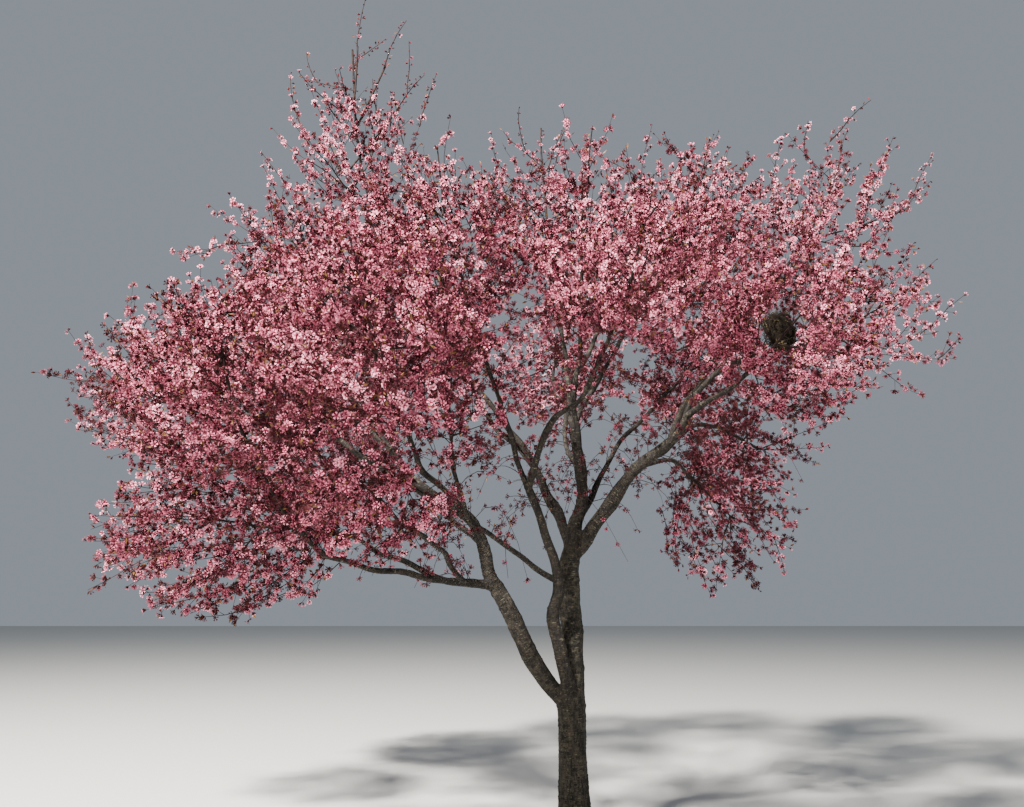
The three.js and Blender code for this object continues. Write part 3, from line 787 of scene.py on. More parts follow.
def limb_sprigs():
    """Thin shoots that arch out of the bare limbs, and long ones that fan out from their ends."""
    sprigs = []
    for number, limb in enumerate(limbs[name] for name in LIMBS):
        draw = draws(SPRIG_SEED + number)
        count = int(limb.length / SPRIG_SPACING)
        starts = [((k + next(draw)) / count, SPRIG_LENGTHS) for k in range(count)]
        starts += [(1 - END_STRETCH * (k + next(draw)) / END_SPRIGS, END_SPRIG_LENGTHS)
                   for k in range(END_SPRIGS)]
        for f, lengths in starts:
            length = between(lengths, next(draw) ** SPRIG_SHORTNESS)
            angle = next(draw) * math.tau
            middle = limb.curve(f)
            upper = smoothstep(middle[2], *SPRIG_HEIGHTS)
            kept = next(draw) < between(SPRIGS_KEPT, upper)
            if not kept or np.linalg.norm(middle - SPRIG_FORK) < SPRIG_FORK_ROOM:
                continue
            heading = heading_of(limb.curve, np.array([f]))
            first, second = axes_along(heading, heading[0])
            side = (math.cos(angle) * first + math.sin(angle) * second)[0]
            way = unit(SPRIG_LEAN * heading[0] + side + (0, 0, SPRIG_RISE))
            root = middle + side * limb.radius(f) * SPRIG_SEAT
            tip = root + length * unit(way - (0, 0, SPRIG_DROOP * (1 - upper) * length / lengths[1]))
            curve = bend(root, root + way * length * SPRIG_ELBOW, tip)
            astray = tip[2] > SPRIG_HEIGHTS[1] and depths_at(tip).max() < -SPRIG_STRAY
            if is_off_limbs(curve) and tip[2] > SPRIG_LOWEST and not astray:
                fullness = between(SPRIG_FULLNESS, upper)
                sprigs.append(Shoot(curve, SPRIG_GIRTHS, length, SPRIG, fullness=fullness))
    return sprigs


def shoots_to(goals, parents, reaches, length, sweep_weight=0):
    """A shoot to each goal that the parents can reach, each from its best root on them."""
    roots = np.concatenate([roots_along(parent, PARENT_FROM, 1, PARENT_STEP) for parent in parents])
    grown = []
    for number, goal in enumerate(goals):
        found = best_root(roots, goal, reaches, length, sweep_at(goal), sweep_weight)
        if not found:
            continue
        root, heading = found
        shoot = wand(root, goal, heading, number)
        if is_off_limbs(shoot.curve):
            grown.append(shoot)
    return grown


def outer_shoots(shoots):
    """Full plumes to the tips that stand out of the crown's outline."""
    grown = shoots_to(np.array(OUTER_TIPS, float), shoots, OUTER_REACHES, OUTER_LENGTH, OUTER_SWEEP_WEIGHT)
    for shoot in grown:
        shoot.fullness = OUTER_FULLNESS * (OUTER_WHIP_SHARE if shoot.is_whip() else 1)
        shoot.girths = OUTER_GIRTHS
    return grown


def gap_shoots(shoots):
    """Shoots that reach from the nearest limb or twig into the gaps where three masses face each other."""
    rng = np.random.default_rng(GAP_SEED)
    low, high = (MIDDLES - REACHES).min(axis=0), (MIDDLES + REACHES).max(axis=0)
    axes = [np.arange(least, most, GAP_SPACING) for least, most in zip(low, high)]
    goals = np.stack(np.meshgrid(*axes, indexing="ij"), axis=-1).reshape(-1, 3)
    goals = goals + rng.uniform(-0.5, 0.5, goals.shape) * GAP_SPACING
    depths = np.sort(depths_at(goals), axis=1)
    in_gap = within(depths[:, -1], GAP_DEPTHS) & (depths[:, -3] > -GAP_WIDTH)
    in_gap &= within(goals[:, 2], GAP_HEIGHTS) & (goals[:, 0] < GAP_RIGHT)
    goals = goals[in_gap & (nest_way(goals) > 2 * NEST_VIEW_BARE)]
    grown = shoots_to(goals, [limbs[name] for name in LIMBS] + shoots, GAP_REACHES, GAP_LENGTH)
    for shoot in grown:
        shoot.rank = SPRIG
    return grown


def grow_shoots():
    """All stems, twigs, wands and sprigs of the crown, and the side spurs on them."""
    shoots = []
    for seed, limb in enumerate((limbs[name] for name in LIMBS), MASS_SEED):
        framework = source_shoots(limb, seed)
        grown = framework + finer_wands(limb.mass, framework, seed)
        for shoot in grown:
            shoot.fullness = LOOSE.get(limb.mass, 1) ** 0.5
        shoots += grown
    shoots += (gap_shoots([shoot for shoot in shoots if shoot.rank < WAND]) + outer_shoots(shoots)
               + limb_sprigs())
    for number, shoot in enumerate(shoots):
        shoot.plume = number
        if shoot.rank == WAND:
            shoot.fullness *= fullness_of(shoot.curve(1.0))
        if shoot.rank in WHIP_GIRTHS and shoot.is_whip():
            shoot.girths = WHIP_GIRTHS[shoot.rank]
    spurs = [spur for shoot in shoots if shoot.rank in (WAND, SPRIG) for spur in spurs_of(shoot, shoot.plume)]
    return shoots, spurs


def crooked(points):
    """The points moved by the slow waves, so that all that stands close together moves together."""
    rng = np.random.default_rng(CROOK_SEED)
    moves = np.zeros_like(points)
    for length in np.linspace(*CROOK_LENGTHS, CROOK_WAVES):
        along, swing = unit(rng.normal(0, 1, (2, 3)))
        phase = points @ along * math.tau / length + rng.uniform(0, math.tau)
        moves += np.outer(np.sin(phase), swing * CROOK_SIZE)
    return points + moves * smoothstep(points[:, 2], *CROOKED_FROM)[:, None]


# Making meshes


def lay_mesh(name, points, faces=(), attributes=None, edges=()):
    """A mesh from points in millimetres, with named numbers or vectors on its points."""
    mesh = bpy.data.meshes.new(name)
    mesh.from_pydata(np.asarray(points) * MM, edges, faces)
    for label, values in (attributes or {}).items():
        values = np.asarray(values, np.float32)
        kind, key = ("FLOAT_VECTOR", "vector") if values.ndim == 2 else ("FLOAT", "value")
        mesh.attributes.new(label, kind, "POINT").data.foreach_set(key, values.ravel())
    return mesh


def vectors_in(rows, key):
    """The vectors that a mesh's rows hold under this key, as one array."""
    flat = np.zeros(len(rows) * 3, np.float32)
    rows.foreach_get(key, flat)
    return flat.reshape(-1, 3).astype(float)


def show(name, mesh):
    piece = bpy.data.objects.new(name, mesh)
    bpy.context.scene.collection.objects.link(piece)
    return piece


def made_mesh(piece):
    """What a piece's modifier makes of it, as a plain mesh. The piece itself goes."""
    graph = bpy.context.evaluated_depsgraph_get()
    mesh = bpy.data.meshes.new_from_object(piece.evaluated_get(graph), depsgraph=graph)
    bpy.data.objects.remove(piece)
    return mesh


def add(tree, kind, links=None, **settings):
    """Adds a node with these settings. A link is an input's name or number, and a value, an output, or a node
    whose first output it takes."""
    node = tree.nodes.new(kind)
    for name, value in settings.items():
        setattr(node, name, value)
    for key, value in (links or {}).items():
        source = value.outputs[0] if isinstance(value, bpy.types.Node) else value
        if isinstance(source, bpy.types.NodeSocket):
            tree.links.new(source, node.inputs[key])
        else:
            node.inputs[key].default_value = source
    return node


def new_tree(name, inputs):
    """A Geometry Nodes tree with a Geometry input and output, and these further named inputs."""
    tree = bpy.data.node_groups.new(name, "GeometryNodeTree")
    tree.interface.new_socket("Geometry", in_out="INPUT", socket_type="NodeSocketGeometry")
    tree.interface.new_socket("Geometry", in_out="OUTPUT", socket_type="NodeSocketGeometry")
    for label, kind in inputs.items():
        tree.interface.new_socket(label, in_out="INPUT", socket_type=kind)
    return tree, tree.nodes.new("NodeGroupInput").outputs


# A Random Value node's sockets for plain numbers, since those for its other kinds bear the same names
LEAST_TURN, MOST_TURN, TURN = 2, 3, 1


def end_tree(tree, geometry, material):
    """Each tree ends in one real mesh of one material."""
    whole = add(tree, "GeometryNodeRealizeInstances", {"Geometry": geometry})
    dressed = add(tree, "GeometryNodeSetMaterial", {"Geometry": whole, "Material": material})
    add(tree, "NodeGroupOutput", {"Geometry": dressed})
    return tree


def tube_tree():
    """Sweeps a ring along every chain of edges, as thick as each point's girth."""
    tree, given = new_tree("Twig tubes", {"Sides": "NodeSocketInt", "Material": "NodeSocketMaterial"})
    chains = add(tree, "GeometryNodeMeshToCurve", {"Mesh": given["Geometry"]})
    ring = add(tree, "GeometryNodeCurvePrimitiveCircle", {"Resolution": given["Sides"], "Radius": 1.0})
    girth = add(tree, "GeometryNodeInputNamedAttribute", {"Name": "girth"}, data_type="FLOAT")
    tubes = add(tree, "GeometryNodeCurveToMesh", {
        "Curve": chains, "Profile Curve": ring, "Scale": girth, "Fill Caps": True})
    return end_tree(tree, tubes, given["Material"])


def scatter_tree():
    """Sets a copy of one small form on every point, turned to the point's aim and given its size."""
    tree, given = new_tree("Set out on twigs", {
        "Form": "NodeSocketObject", "Material": "NodeSocketMaterial", "Seed": "NodeSocketInt"})
    form = add(tree, "GeometryNodeObjectInfo", {"Object": given["Form"]})
    aim = add(tree, "GeometryNodeInputNamedAttribute", {"Name": "aim"}, data_type="FLOAT_VECTOR")
    size = add(tree, "GeometryNodeInputNamedAttribute", {"Name": "size"}, data_type="FLOAT")
    aimed = add(tree, "FunctionNodeAlignRotationToVector", {"Vector": aim}, axis="Z")
    turn = add(tree, "FunctionNodeRandomValue", {
        LEAST_TURN: 0.0, MOST_TURN: math.tau, "Seed": given["Seed"]}, data_type="FLOAT")
    spin = add(tree, "FunctionNodeAxisAngleToRotation", {"Axis": (0, 0, 1), "Angle": turn.outputs[TURN]})
    turned = add(tree, "FunctionNodeRotateRotation", {
        "Rotation": aimed, "Rotate By": spin}, rotation_space="LOCAL")
    points = add(tree, "GeometryNodeMeshToPoints", {"Mesh": given["Geometry"]})
    copies = add(tree, "GeometryNodeInstanceOnPoints", {
        "Points": points, "Instance": form.outputs["Geometry"], "Rotation": turned, "Scale": size})
    return end_tree(tree, copies, given["Material"])


def make_by(tree, name, mesh, values):
    """Runs a tree on a mesh with these named inputs, and keeps what it makes as a plain piece."""
    base = show(name + "_base", mesh)
    modifier = base.modifiers.new(tree.name, "NODES")
    modifier.node_group = tree
    for item in tree.interface.items_tree:
        if item.in_out == "INPUT" and item.name in values:
            modifier[item.identifier] = values[item.name]
    made = made_mesh(base)
    made.name = name
    return show(name, made)


# Materials

# A Mix node's sockets for colours, by number, since those for its other kinds bear the same names
SHARE, UNDER, OVER, MIXED = 0, 6, 7, 2

# Sizes of the patterns, in millimetres. Those on petals and twigs are finer on a real tree, and are drawn as
# coarse as they need to be to show.
PLATE_SIZE = 45.45
LINE_SIZES = (33.33, 33.33, 5.263)
CRACK_SIZES = (11.11, 11.11, 29.41)
SPECKLE_SIZE = 13.33
BLOOM_SIZE = 25
CALYX_FLUSH = 22.22
LEAF_FLUSH = 40
FIBRE_SIZE = 38.46

OLD_BARK = ("#151411", "#464136")
# Darker ground of the slimmer limbs: younger bark, and painted shade of the crown over them
YOUNG_SHADED_BARK = ("#141110", "#2f2923")
CORKY_LINES = "#645e4e"
CRACKS = "#0e0c0b"


def colour(code):
    """An sRGB hex colour as linear red, green, blue and alpha."""
    parts = [int(code[k:k + 2], 16) / 255 for k in (1, 3, 5)]
    return tuple(((p + 0.055) / 1.055) ** 2.4 if p > 0.04045 else p / 12.92 for p in parts) + (1,)


def per_metre(size):
    """How many grains of this size in millimetres lie along a metre, which is a pattern's scale."""
    return 1 / (size * MM)


def new_material(name):
    material = bpy.data.materials.new(name)
    material.use_nodes = True
    material.node_tree.nodes.clear()
    return material, material.node_tree


def finish_material(tree, surface):
    shader = add(tree, "ShaderNodeBsdfPrincipled", surface)
    add(tree, "ShaderNodeOutputMaterial", {"Surface": shader})


def cherry_bark():
    """Old cherry bark: near-black grey-brown, rough with pale flaking specks, crossed by thin corky lines.
    Slimmer limbs are darker: younger bark, and painted shade of the crown over them.
    """
    material, tree = new_material("cherry bark")
    space = add(tree, "ShaderNodeAttribute", attribute_name="bark_space").outputs["Vector"]
    age_and_shade = add(tree, "ShaderNodeAttribute", attribute_name="bark_age").outputs["Fac"]
    plates = add(tree, "ShaderNodeTexNoise", {
        "Vector": space, "Scale": per_metre(PLATE_SIZE), "Detail": 7, "Roughness": 0.72})
    squeezed = add(tree, "ShaderNodeMapping", {"Vector": space, "Scale": [*map(per_metre, LINE_SIZES)]})
    lines = add(tree, "ShaderNodeTexNoise", {"Vector": squeezed, "Scale": 1, "Detail": 3})
    drawn = add(tree, "ShaderNodeMapping", {"Vector": space, "Scale": [*map(per_metre, CRACK_SIZES)]})
    cracks = add(tree, "ShaderNodeTexNoise", {"Vector": drawn, "Scale": 1, "Detail": 5, "Distortion": 0.8})
    weathered = add(tree, "ShaderNodeMapRange", {"Value": plates, "From Min": 0.42, "From Max": 0.66})
    lenticels = add(tree, "ShaderNodeMapRange", {"Value": lines, "From Min": 0.6, "From Max": 0.7})
    sunk = add(tree, "ShaderNodeMapRange", {"Value": cracks, "From Min": 0.5, "From Max": 0.36})
    young_shaded_ground, old_ground = (
        add(tree, "ShaderNodeMix", {SHARE: weathered, UNDER: colour(dark), OVER: colour(light)},
            data_type="RGBA").outputs[MIXED]
        for dark, light in (YOUNG_SHADED_BARK, OLD_BARK))
    tone = young_shaded_ground
    for share, over in ((age_and_shade, old_ground), (lenticels, colour(CORKY_LINES)), (sunk, colour(CRACKS))):
        layer = add(tree, "ShaderNodeMix", {SHARE: share, UNDER: tone, OVER: over}, data_type="RGBA")
        tone = layer.outputs[MIXED]
    relief = add(tree, "ShaderNodeMath", {0: plates, 1: cracks}, operation="ADD")
    bump = add(tree, "ShaderNodeBump", {"Height": relief, "Strength": 0.8, "Distance": 0.012})
    roughness = add(tree, "ShaderNodeMapRange", {"Value": lines, "To Min": 0.72, "To Max": 0.92})
    finish_material(tree, {
        "Base Color": tone, "Roughness": roughness, "Normal": bump, "Specular IOR Level": 0.22})
    return material


def two_shades(name, shades, grain, noise_settings, steps, finish, relief=None):
    """A material in two shades that meet in grains of this size, which also give its relief."""
    material, tree = new_material(name)
    space = add(tree, "ShaderNodeTexCoord").outputs["Object"]
    grains = add(tree, "ShaderNodeTexNoise", {"Vector": space, "Scale": per_metre(grain), **noise_settings})
    share = add(tree, "ShaderNodeMapRange", {"Value": grains, "From Min": steps[0], "From Max": steps[1]})
    dark, light = map(colour, shades)
    tone = add(tree, "ShaderNodeMix", {SHARE: share, UNDER: dark, OVER: light}, data_type="RGBA")
    surface = {"Base Color": tone.outputs[MIXED], **finish}
    if relief:
        surface["Normal"] = add(tree, "ShaderNodeBump", {"Height": grains, **relief})
    finish_material(tree, surface)
    return material


def young_bark(name, shades):
    """Bark of twigs of a few years: thin and tight, dark red-brown, dulled by a fine grey bloom."""
    return two_shades(name, shades, BLOOM_SIZE, {"Detail": 3}, (0.4, 0.65),
                      {"Roughness": 0.85, "Specular IOR Level": 0.15}, {"Strength": 0.3, "Distance": 0.001})


def petal_tissue(name, face, claw):
    """Cherry petals: thin matt tissue with a faint silky sheen, deeper at the claw than at the rim."""
    material, tree = new_material(name)
    rim = add(tree, "ShaderNodeAttribute", attribute_name="rim").outputs["Fac"]
    outward = add(tree, "ShaderNodeMapRange", {"Value": rim, "From Min": 0.25, "From Max": 0.95})
    space = add(tree, "ShaderNodeTexCoord").outputs["Object"]
    speckle = add(tree, "ShaderNodeTexNoise", {
        "Vector": space, "Scale": per_metre(SPECKLE_SIZE), "Detail": 2})
    speckled = add(tree, "ShaderNodeMapRange", {"Value": speckle, "From Min": 0.62, "From Max": 0.38})
    tone = add(tree, "ShaderNodeMix", {
        SHARE: outward, UNDER: colour(claw), OVER: colour(face)}, data_type="RGBA").outputs[MIXED]
    deeper = add(tree, "ShaderNodeMix", {SHARE: 0.55, UNDER: tone, OVER: colour(claw)}, data_type="RGBA")
    shaded = add(tree, "ShaderNodeMix", {
        SHARE: speckled, UNDER: tone, OVER: deeper.outputs[MIXED]}, data_type="RGBA")
    finish_material(tree, {
        "Base Color": shaded.outputs[MIXED], "Roughness": 0.68, "Sheen Weight": 0.05,
        "Specular IOR Level": 0.15, "IOR": 1.42})
    return material


def calyx_tissue():
    """Calyx, stalk and bud scales: smooth, dull under a thin wax and deep wine red."""
    return two_shades("calyx and stalk", ("#28090a", "#4a1815"), CALYX_FLUSH, {"Detail": 2}, (0.35, 0.65),
                      {"Roughness": 0.7, "Specular IOR Level": 0.18})


def leaf_tissue():
    """Young cherry leaves: soft and slightly glossy, bronze red over green."""
    return two_shades("young leaf", ("#451a10", "#674a22"), LEAF_FLUSH, {"Detail": 2}, (0.35, 0.65),
                      {"Roughness": 0.6, "Specular IOR Level": 0.25})


def dead_stalks(name, shades):
    """Weathered dry stalks and rootlets: matt, grey to straw brown, fibrous."""
    return two_shades(name, shades, FIBRE_SIZE, {"Detail": 5, "Roughness": 0.7}, (0.35, 0.65),
                      {"Roughness": 0.9, "Specular IOR Level": 0.15}, {"Strength": 0.5, "Distance": 0.002})


# Trunk, stems and boughs

VOXEL = 7.5
TRUNK_SIDES = 64
TRUNK_STEP = 10
THICK_SIDES = 20
THICK_STEP = 20
BOUGH_SIDES = 14
BOUGH_STEP = 16
BARK_STEP = 25
BARK_NEAREST = 6
LIMBS_APART = 10000.0
FORK_REACH = (75, 240)
FORK_ROUNDS = 14
SMOOTHING = 0.12
FORK_SMOOTHING = 0.5
# Widths and lengths of the bark's flutes, knobs and corky lines, how far they stand out, and from what level
RELIEF_SIZES = ((55, 420), (38, 60), (30, 9))
FLUTE_DEPTH = 0.14
KNOB_HEIGHT = 9.0
KNOB_LEVEL = 0.15
LENTICEL_HEIGHT = 4.8
LENTICEL_LEVEL = 0.12
FULL_RELIEF_RADIUS = 45
SEAM_SHARE = 0.9
# Limb radii over which the bark turns from the darker ground (younger bark and painted shade) to the old
# ground
YOUNG_AND_SHADED_RADII = (30, 90)


def limb_stations(name, step):
    """Middles, cross axes, radii and distances along a limb, every step millimetres."""
    limb = limbs[name]
    f = np.linspace(0, 1, max(8, round(limb.length / step)))
    middles = limb.curve(f)
    first, second = axes_along(heading_of(limb.curve, f), middles[-1] - middles[0])
    radii = limb.radius(f) * (1 + COLLAR * np.exp(-f * limb.length / limb.base))
    return middles, first, second, radii, f * limb.length


def tube_mesh(middles, first, second, radii, sides):
    """Points and faces of a closed tube. Its two ends close on a middle point."""
    angles = np.linspace(0, math.tau, sides, endpoint=False)
    across = turned_out(angles[:, None], first, second)
    rings = (middles + across * np.reshape(radii, (-1, len(middles)))[..., None]).transpose(1, 0, 2)
    points = np.vstack([rings.reshape(-1, 3), middles[:1], middles[-1:]])
    faces = []
    for ring, side in itertools.product(range(len(middles) - 1), range(sides)):
        here, there = ring * sides + side, ring * sides + (side + 1) % sides
        faces.append((here, here + sides, there + sides, there))
    last = (len(middles) - 1) * sides
    for side in range(sides):
        onward = (side + 1) % sides
        faces.append((side, onward, len(points) - 2))
        faces.append((last + onward, last + side, len(points) - 1))
    return points, faces


def trunk_stations(step):
    """Middles, cross axes and heights up the trunk, every step millimetres."""
    heights = np.arange(0, TRUNK_TOP + step, step).clip(0, TRUNK_TOP)
    middles = np.multiply.outer(heights / TRUNK_TOP, (*TRUNK_LEAN, TRUNK_TOP)).astype(float)
    first = np.tile([1.0, 0.0, 0.0], (len(heights), 1))
    return middles, first, np.tile([0.0, 1.0, 0.0], (len(heights), 1)), heights


def limb_tube(name, step, sides):
    """A limb as a plain tube, without its bark."""
    return tube_mesh(*limb_stations(name, step)[:-1], sides)


def trunk_mesh():
    """The trunk, flared and ribbed at its foot."""
    middles, first, second, heights = trunk_stations(TRUNK_STEP)
    angles = np.linspace(0, math.tau, TRUNK_SIDES, endpoint=False)
    flare = np.exp(-heights / FLARE_HEIGHT)
    ribs = 1 + FLARE_RIB_DEPTH * np.cos(FLARE_RIBS * angles)[:, None] * flare
    return tube_mesh(middles, first, second, (TRUNK_RADIUS + FLARE_RADIUS * flare) * ribs, TRUNK_SIDES)


def joined(meshes):
    """Several points and faces as one."""
    points, faces, passed = [], [], 0
    for some_points, some_faces in meshes:
        points.append(some_points)
        faces += [tuple(corner + passed for corner in face) for face in some_faces]
        passed += len(some_points)
    return np.vstack(points), faces


def run_together(points, faces):
    """One closed skin round overlapping tubes, from a fine grid."""
    lump = show("lump", lay_mesh("lump", points, faces))
    remesh = lump.modifiers.new("Skin", "REMESH")
    remesh.mode = "VOXEL"
    remesh.voxel_size = VOXEL * MM
    skin = made_mesh(lump)
    return vectors_in(skin.vertices, "co") / MM, [tuple(face.vertices) for face in skin.polygons]


def neighbours(faces, count):
    """Every edge once, as two columns of point numbers."""
    pairs = set()
    for face in faces:
        for corner, here in enumerate(face):
            there = face[(corner + 1) % len(face)]
            pairs.add((here, there) if here < there else (there, here))
    return np.array(sorted(pairs))


def smoothed(points, edges, weights, rounds):
    """Each round moves a point towards the middle of its neighbours by its weight."""
    ends = np.concatenate([edges, edges[:, ::-1]])
    number = np.bincount(ends[:, 0], minlength=len(points))[:, None]
    for turn in range(rounds):
        total = np.stack([np.bincount(ends[:, 0], points[ends[:, 1], axis], len(points))
                          for axis in range(3)], axis=1)
        points = points + weights[:, None] * (total / number - points)
    return points


def normals_of(points, faces):
    mesh = lay_mesh("normals", points, faces)
    normals = vectors_in(mesh.vertex_normals, "vector")
    bpy.data.meshes.remove(mesh)
    return normals


def bark_spaces(points, names):
    """Each point's place as if its limb stood straight: two ways across, and the way along."""
    stations = []
    for number, name in enumerate(names):
        if name == "trunk":
            middles, first, second, along = trunk_stations(BARK_STEP)
            radii = np.full(len(middles), float(TRUNK_RADIUS))
        else:
            middles, first, second, radii, along = limb_stations(name, BARK_STEP)
        shifted = along[:, None] + LIMBS_APART * number
        rows = np.hstack([middles, first, second, shifted, radii[:, None]])
        stations.append(rows if name == "trunk" else rows[along > SEAM_SHARE * radii[0]])
    stations = np.concatenate(stations)
    tree = kdtree.KDTree(len(stations))
    for number, middle in enumerate(stations[:, :3]):
        tree.insert(middle, number)
    tree.balance()
    nearest = np.empty(len(points), int)
    for number, point in enumerate(points):
        found = tree.find_n(point, BARK_NEAREST)
        nearest[number] = min(found, key=lambda hit: hit[2] - stations[hit[1], 10])[1]
    station = stations[nearest]
    offset = points - station[:, :3]
    across = (offset * station[:, 3:6]).sum(axis=1)
    upward = (offset * station[:, 6:9]).sum(axis=1)
    heading = np.cross(station[:, 6:9], station[:, 3:6])
    along = station[:, 9] + (offset * heading).sum(axis=1)
    return np.stack([across, upward, along], axis=1), station[:, 10]


def bark_relief(spaces, radii):
    """How far the bark stands out: long flutes, knobs, and corky lines that run across."""
    relief = np.empty(len(spaces))
    for number, ((x, y, z), radius) in enumerate(zip(spaces, radii)):
        flute, knob, line = (noise.noise((x / wide, y / wide, z / long)) for wide, long in RELIEF_SIZES)
        flutes = flute * radius * FLUTE_DEPTH
        knobs = max(0.0, knob - KNOB_LEVEL) * KNOB_HEIGHT
        lines = max(0.0, line - LENTICEL_LEVEL) * LENTICEL_HEIGHT
        relief[number] = flutes + (knobs + lines) * min(1.0, radius / FULL_RELIEF_RADIUS)
    return relief


def barked(name, points, faces, names, material):
    """A wood piece with relief, whose bark pattern follows its limbs."""
    spaces, radii = bark_spaces(points, names)
    points = points + normals_of(points, faces) * bark_relief(spaces, radii)[:, None]
    points[:, 2] = np.where(points[:, 2] < VOXEL, 0, points[:, 2])
    # Slimmer limbs get the darker ground: younger bark and painted shade of the crown
    age_and_shade = smoothstep(radii, *YOUNG_AND_SHADED_RADII)
    mesh = lay_mesh(name, crooked(points), faces, {"bark_space": spaces * MM, "bark_age": age_and_shade})
    mesh.materials.append(material)
    mesh.shade_smooth()
    return show(name, mesh)


def make_trunk_and_stems(bark):
    """Trunk and thick limbs as one skin, smoothed most where they fork."""
    tubes = [trunk_mesh()] + [limb_tube(name, THICK_STEP, THICK_SIDES) for name in THICK_LIMBS]
    points, faces = run_together(*joined(tubes))
    forks = [limbs[LIMBS[name][0]].curve(LIMBS[name][1]) for name in THICK_LIMBS]
    near = np.min([np.linalg.norm(points - fork, axis=1) for fork in forks], axis=0)
    weights = SMOOTHING + FORK_SMOOTHING * (1 - smoothstep(near, *FORK_REACH))
    points = smoothed(points, neighbours(faces, len(points)), weights, FORK_ROUNDS)
    return barked("trunk_and_stems", points, faces, ("trunk", *THICK_LIMBS), bark)


def make_boughs(bark):
    """The slimmer limbs, which each start inside the limb that carries them."""
    names = [name for name in LIMBS if name not in THICK_LIMBS]
    points, faces = joined(limb_tube(name, BOUGH_STEP, BOUGH_SIDES) for name in names)
    return barked("boughs", points, faces, names, bark)


# Twigs and what stands on them


def chains_mesh(name, chains):
    """Polylines as edges, with each point's girth in metres."""
    edges, passed = [], 0
    for chain, girths in chains:
        edges += [(passed + k, passed + k + 1) for k in range(len(chain) - 1)]
        passed += len(chain)
    points, girths = (np.concatenate(values) for values in zip(*chains))
    return lay_mesh(name, crooked(points), attributes={"girth": girths * MM}, edges=edges)


def shoot_chain(shoot, count):
    """Places along a shoot, and its girth at each."""
    f = np.linspace(0, 1, count)
    return shoot.curve(f), between(shoot.girths, f)


def cluster_places(shoots, rng):
    """Where the clusters of blossom sit: place, way out from the twig, plume, and share of the way along."""
    places, ways, plumes, shares = [], [], [], []
    for shoot in shoots:
        spacing = CLUSTER_SPACING * CLUSTER_SPREAD[shoot.rank] / shoot.fullness ** 0.3
        if shoot.is_whip():
            spacing *= WHIP_BUD_SPACING
        flowering = 1 - shoot.flowers_from
        count = max(1, round(shoot.length * flowering / spacing))
        f = shoot.flowers_from + flowering * (np.arange(count) + rng.uniform(*CLUSTER_STRAY, count)) / count
        headings = heading_of(shoot.curve, f)
        axes = axes_along(headings, headings.mean(axis=0))
        out = turned_out(np.arange(count) * GOLDEN_ANGLE + rng.uniform(0, math.tau), *axes)
        out = unit(out + CLUSTER_LEAN * headings + (0, 0, CLUSTER_RISE))
        out[-1] = headings[-1]
        places.append(shoot.curve(f) + out * (between(shoot.girths, f) + CLUSTER_ROOM)[:, None])
        ways.append(out)
        plumes += [shoot.plume] * count
        shares.append(f if shoot.rank == WAND else 0 * f)
    places, ways = np.concatenate(places), np.concatenate(ways)
    plumes, shares = np.array(plumes), np.concatenate(shares)
    seen = nest_way(places) > NEST_VIEW_BARE
    return places[seen], ways[seen], plumes[seen], shares[seen]


def flower_form():
    """Narrow cupped petals, widest at the rim, which let the dark calyx show between them."""
    claw, claw_height = CLAW_AT
    corners = [(claw, 0.0, claw_height), (FLOWER_RADIUS, -PETAL_HALF_ANGLE, PETAL_RISE),
               (FLOWER_RADIUS, PETAL_HALF_ANGLE, PETAL_RISE)]
    points = [(radius * math.cos(turn + spread), radius * math.sin(turn + spread), height)
              for turn in (petal * math.tau / PETALS for petal in range(PETALS))
              for radius, spread, height in corners]
    faces = [(first, first + 1, first + 2) for first in range(0, len(points), 3)]
    return lay_mesh("flower", points, faces, {"rim": [0.0, 1.0, 1.0] * PETALS})


def bud_form():
    """A slim closed bud, widest near its middle."""
    waist_height = between(BUD_ENDS, BUD_WAIST_AT)
    turns = [side * math.tau / BUD_SIDES for side in range(BUD_SIDES)]
    waist = [(BUD_WAIST * math.cos(turn), BUD_WAIST * math.sin(turn), waist_height) for turn in turns]
    points = [(0, 0, BUD_ENDS[0]), *waist, (0, 0, BUD_ENDS[1])]
    faces = []
    for side in range(BUD_SIDES):
        here, there = 1 + side, 1 + (side + 1) % BUD_SIDES
        faces += [(0, there, here), (here, there, BUD_SIDES + 1)]
    return lay_mesh("bud", points, faces)


def stalk_form():
    """A stalk that widens into the dark calyx behind the petals, as two blades across each other."""
    rim = [(8, 0, 2), (-8, 0, 2), (0, 8, 2), (0, -8, 2)]
    return lay_mesh("stalk", [(0, 0, -STALK_LENGTH), *rim], [(0, 1, 2), (0, 3, 4)])


def leaf_form():
    """A young leaf folded along its midrib, with a drawn-out tip."""
    points = [(0, 0, -8), (7, 3, 10), (0, 0, 12), (-7, 3, 10), (0, 2, 30)]
    faces = [(0, 1, 2), (0, 2, 3), (1, 4, 2), (2, 4, 3)]
    return lay_mesh("leaf", points, faces)


def hidden_form(mesh):
    """A form that the trees copy. It lies outside the scene, so that it isn't a piece."""
    return bpy.data.objects.new(mesh.name + "_form", mesh)


def points_mesh(name, places, aims, sizes):
    """Loose points, each with the aim and size of the form that it is to carry."""
    return lay_mesh(name, crooked(places), attributes={"aim": aims, "size": sizes})


# Colours from the sunlit top to the shaded inside: petal face, and the deeper claw
PETAL_COLOURS = {
    "white_pink": ("#ffb6c8", "#962c4e"),
    "pale": ("#e68ba2", "#7e233f"),
    "light": ("#c46e84", "#6c1c34"),
    "rose": ("#9a4d62", "#501325"),
    "deep": ("#763847", "#3f101b"),
    "wine": ("#491c28", "#2a0a11"),
}
COLOUR_SHARES = (0.17, 0.18, 0.17, 0.17, 0.17, 0.14)
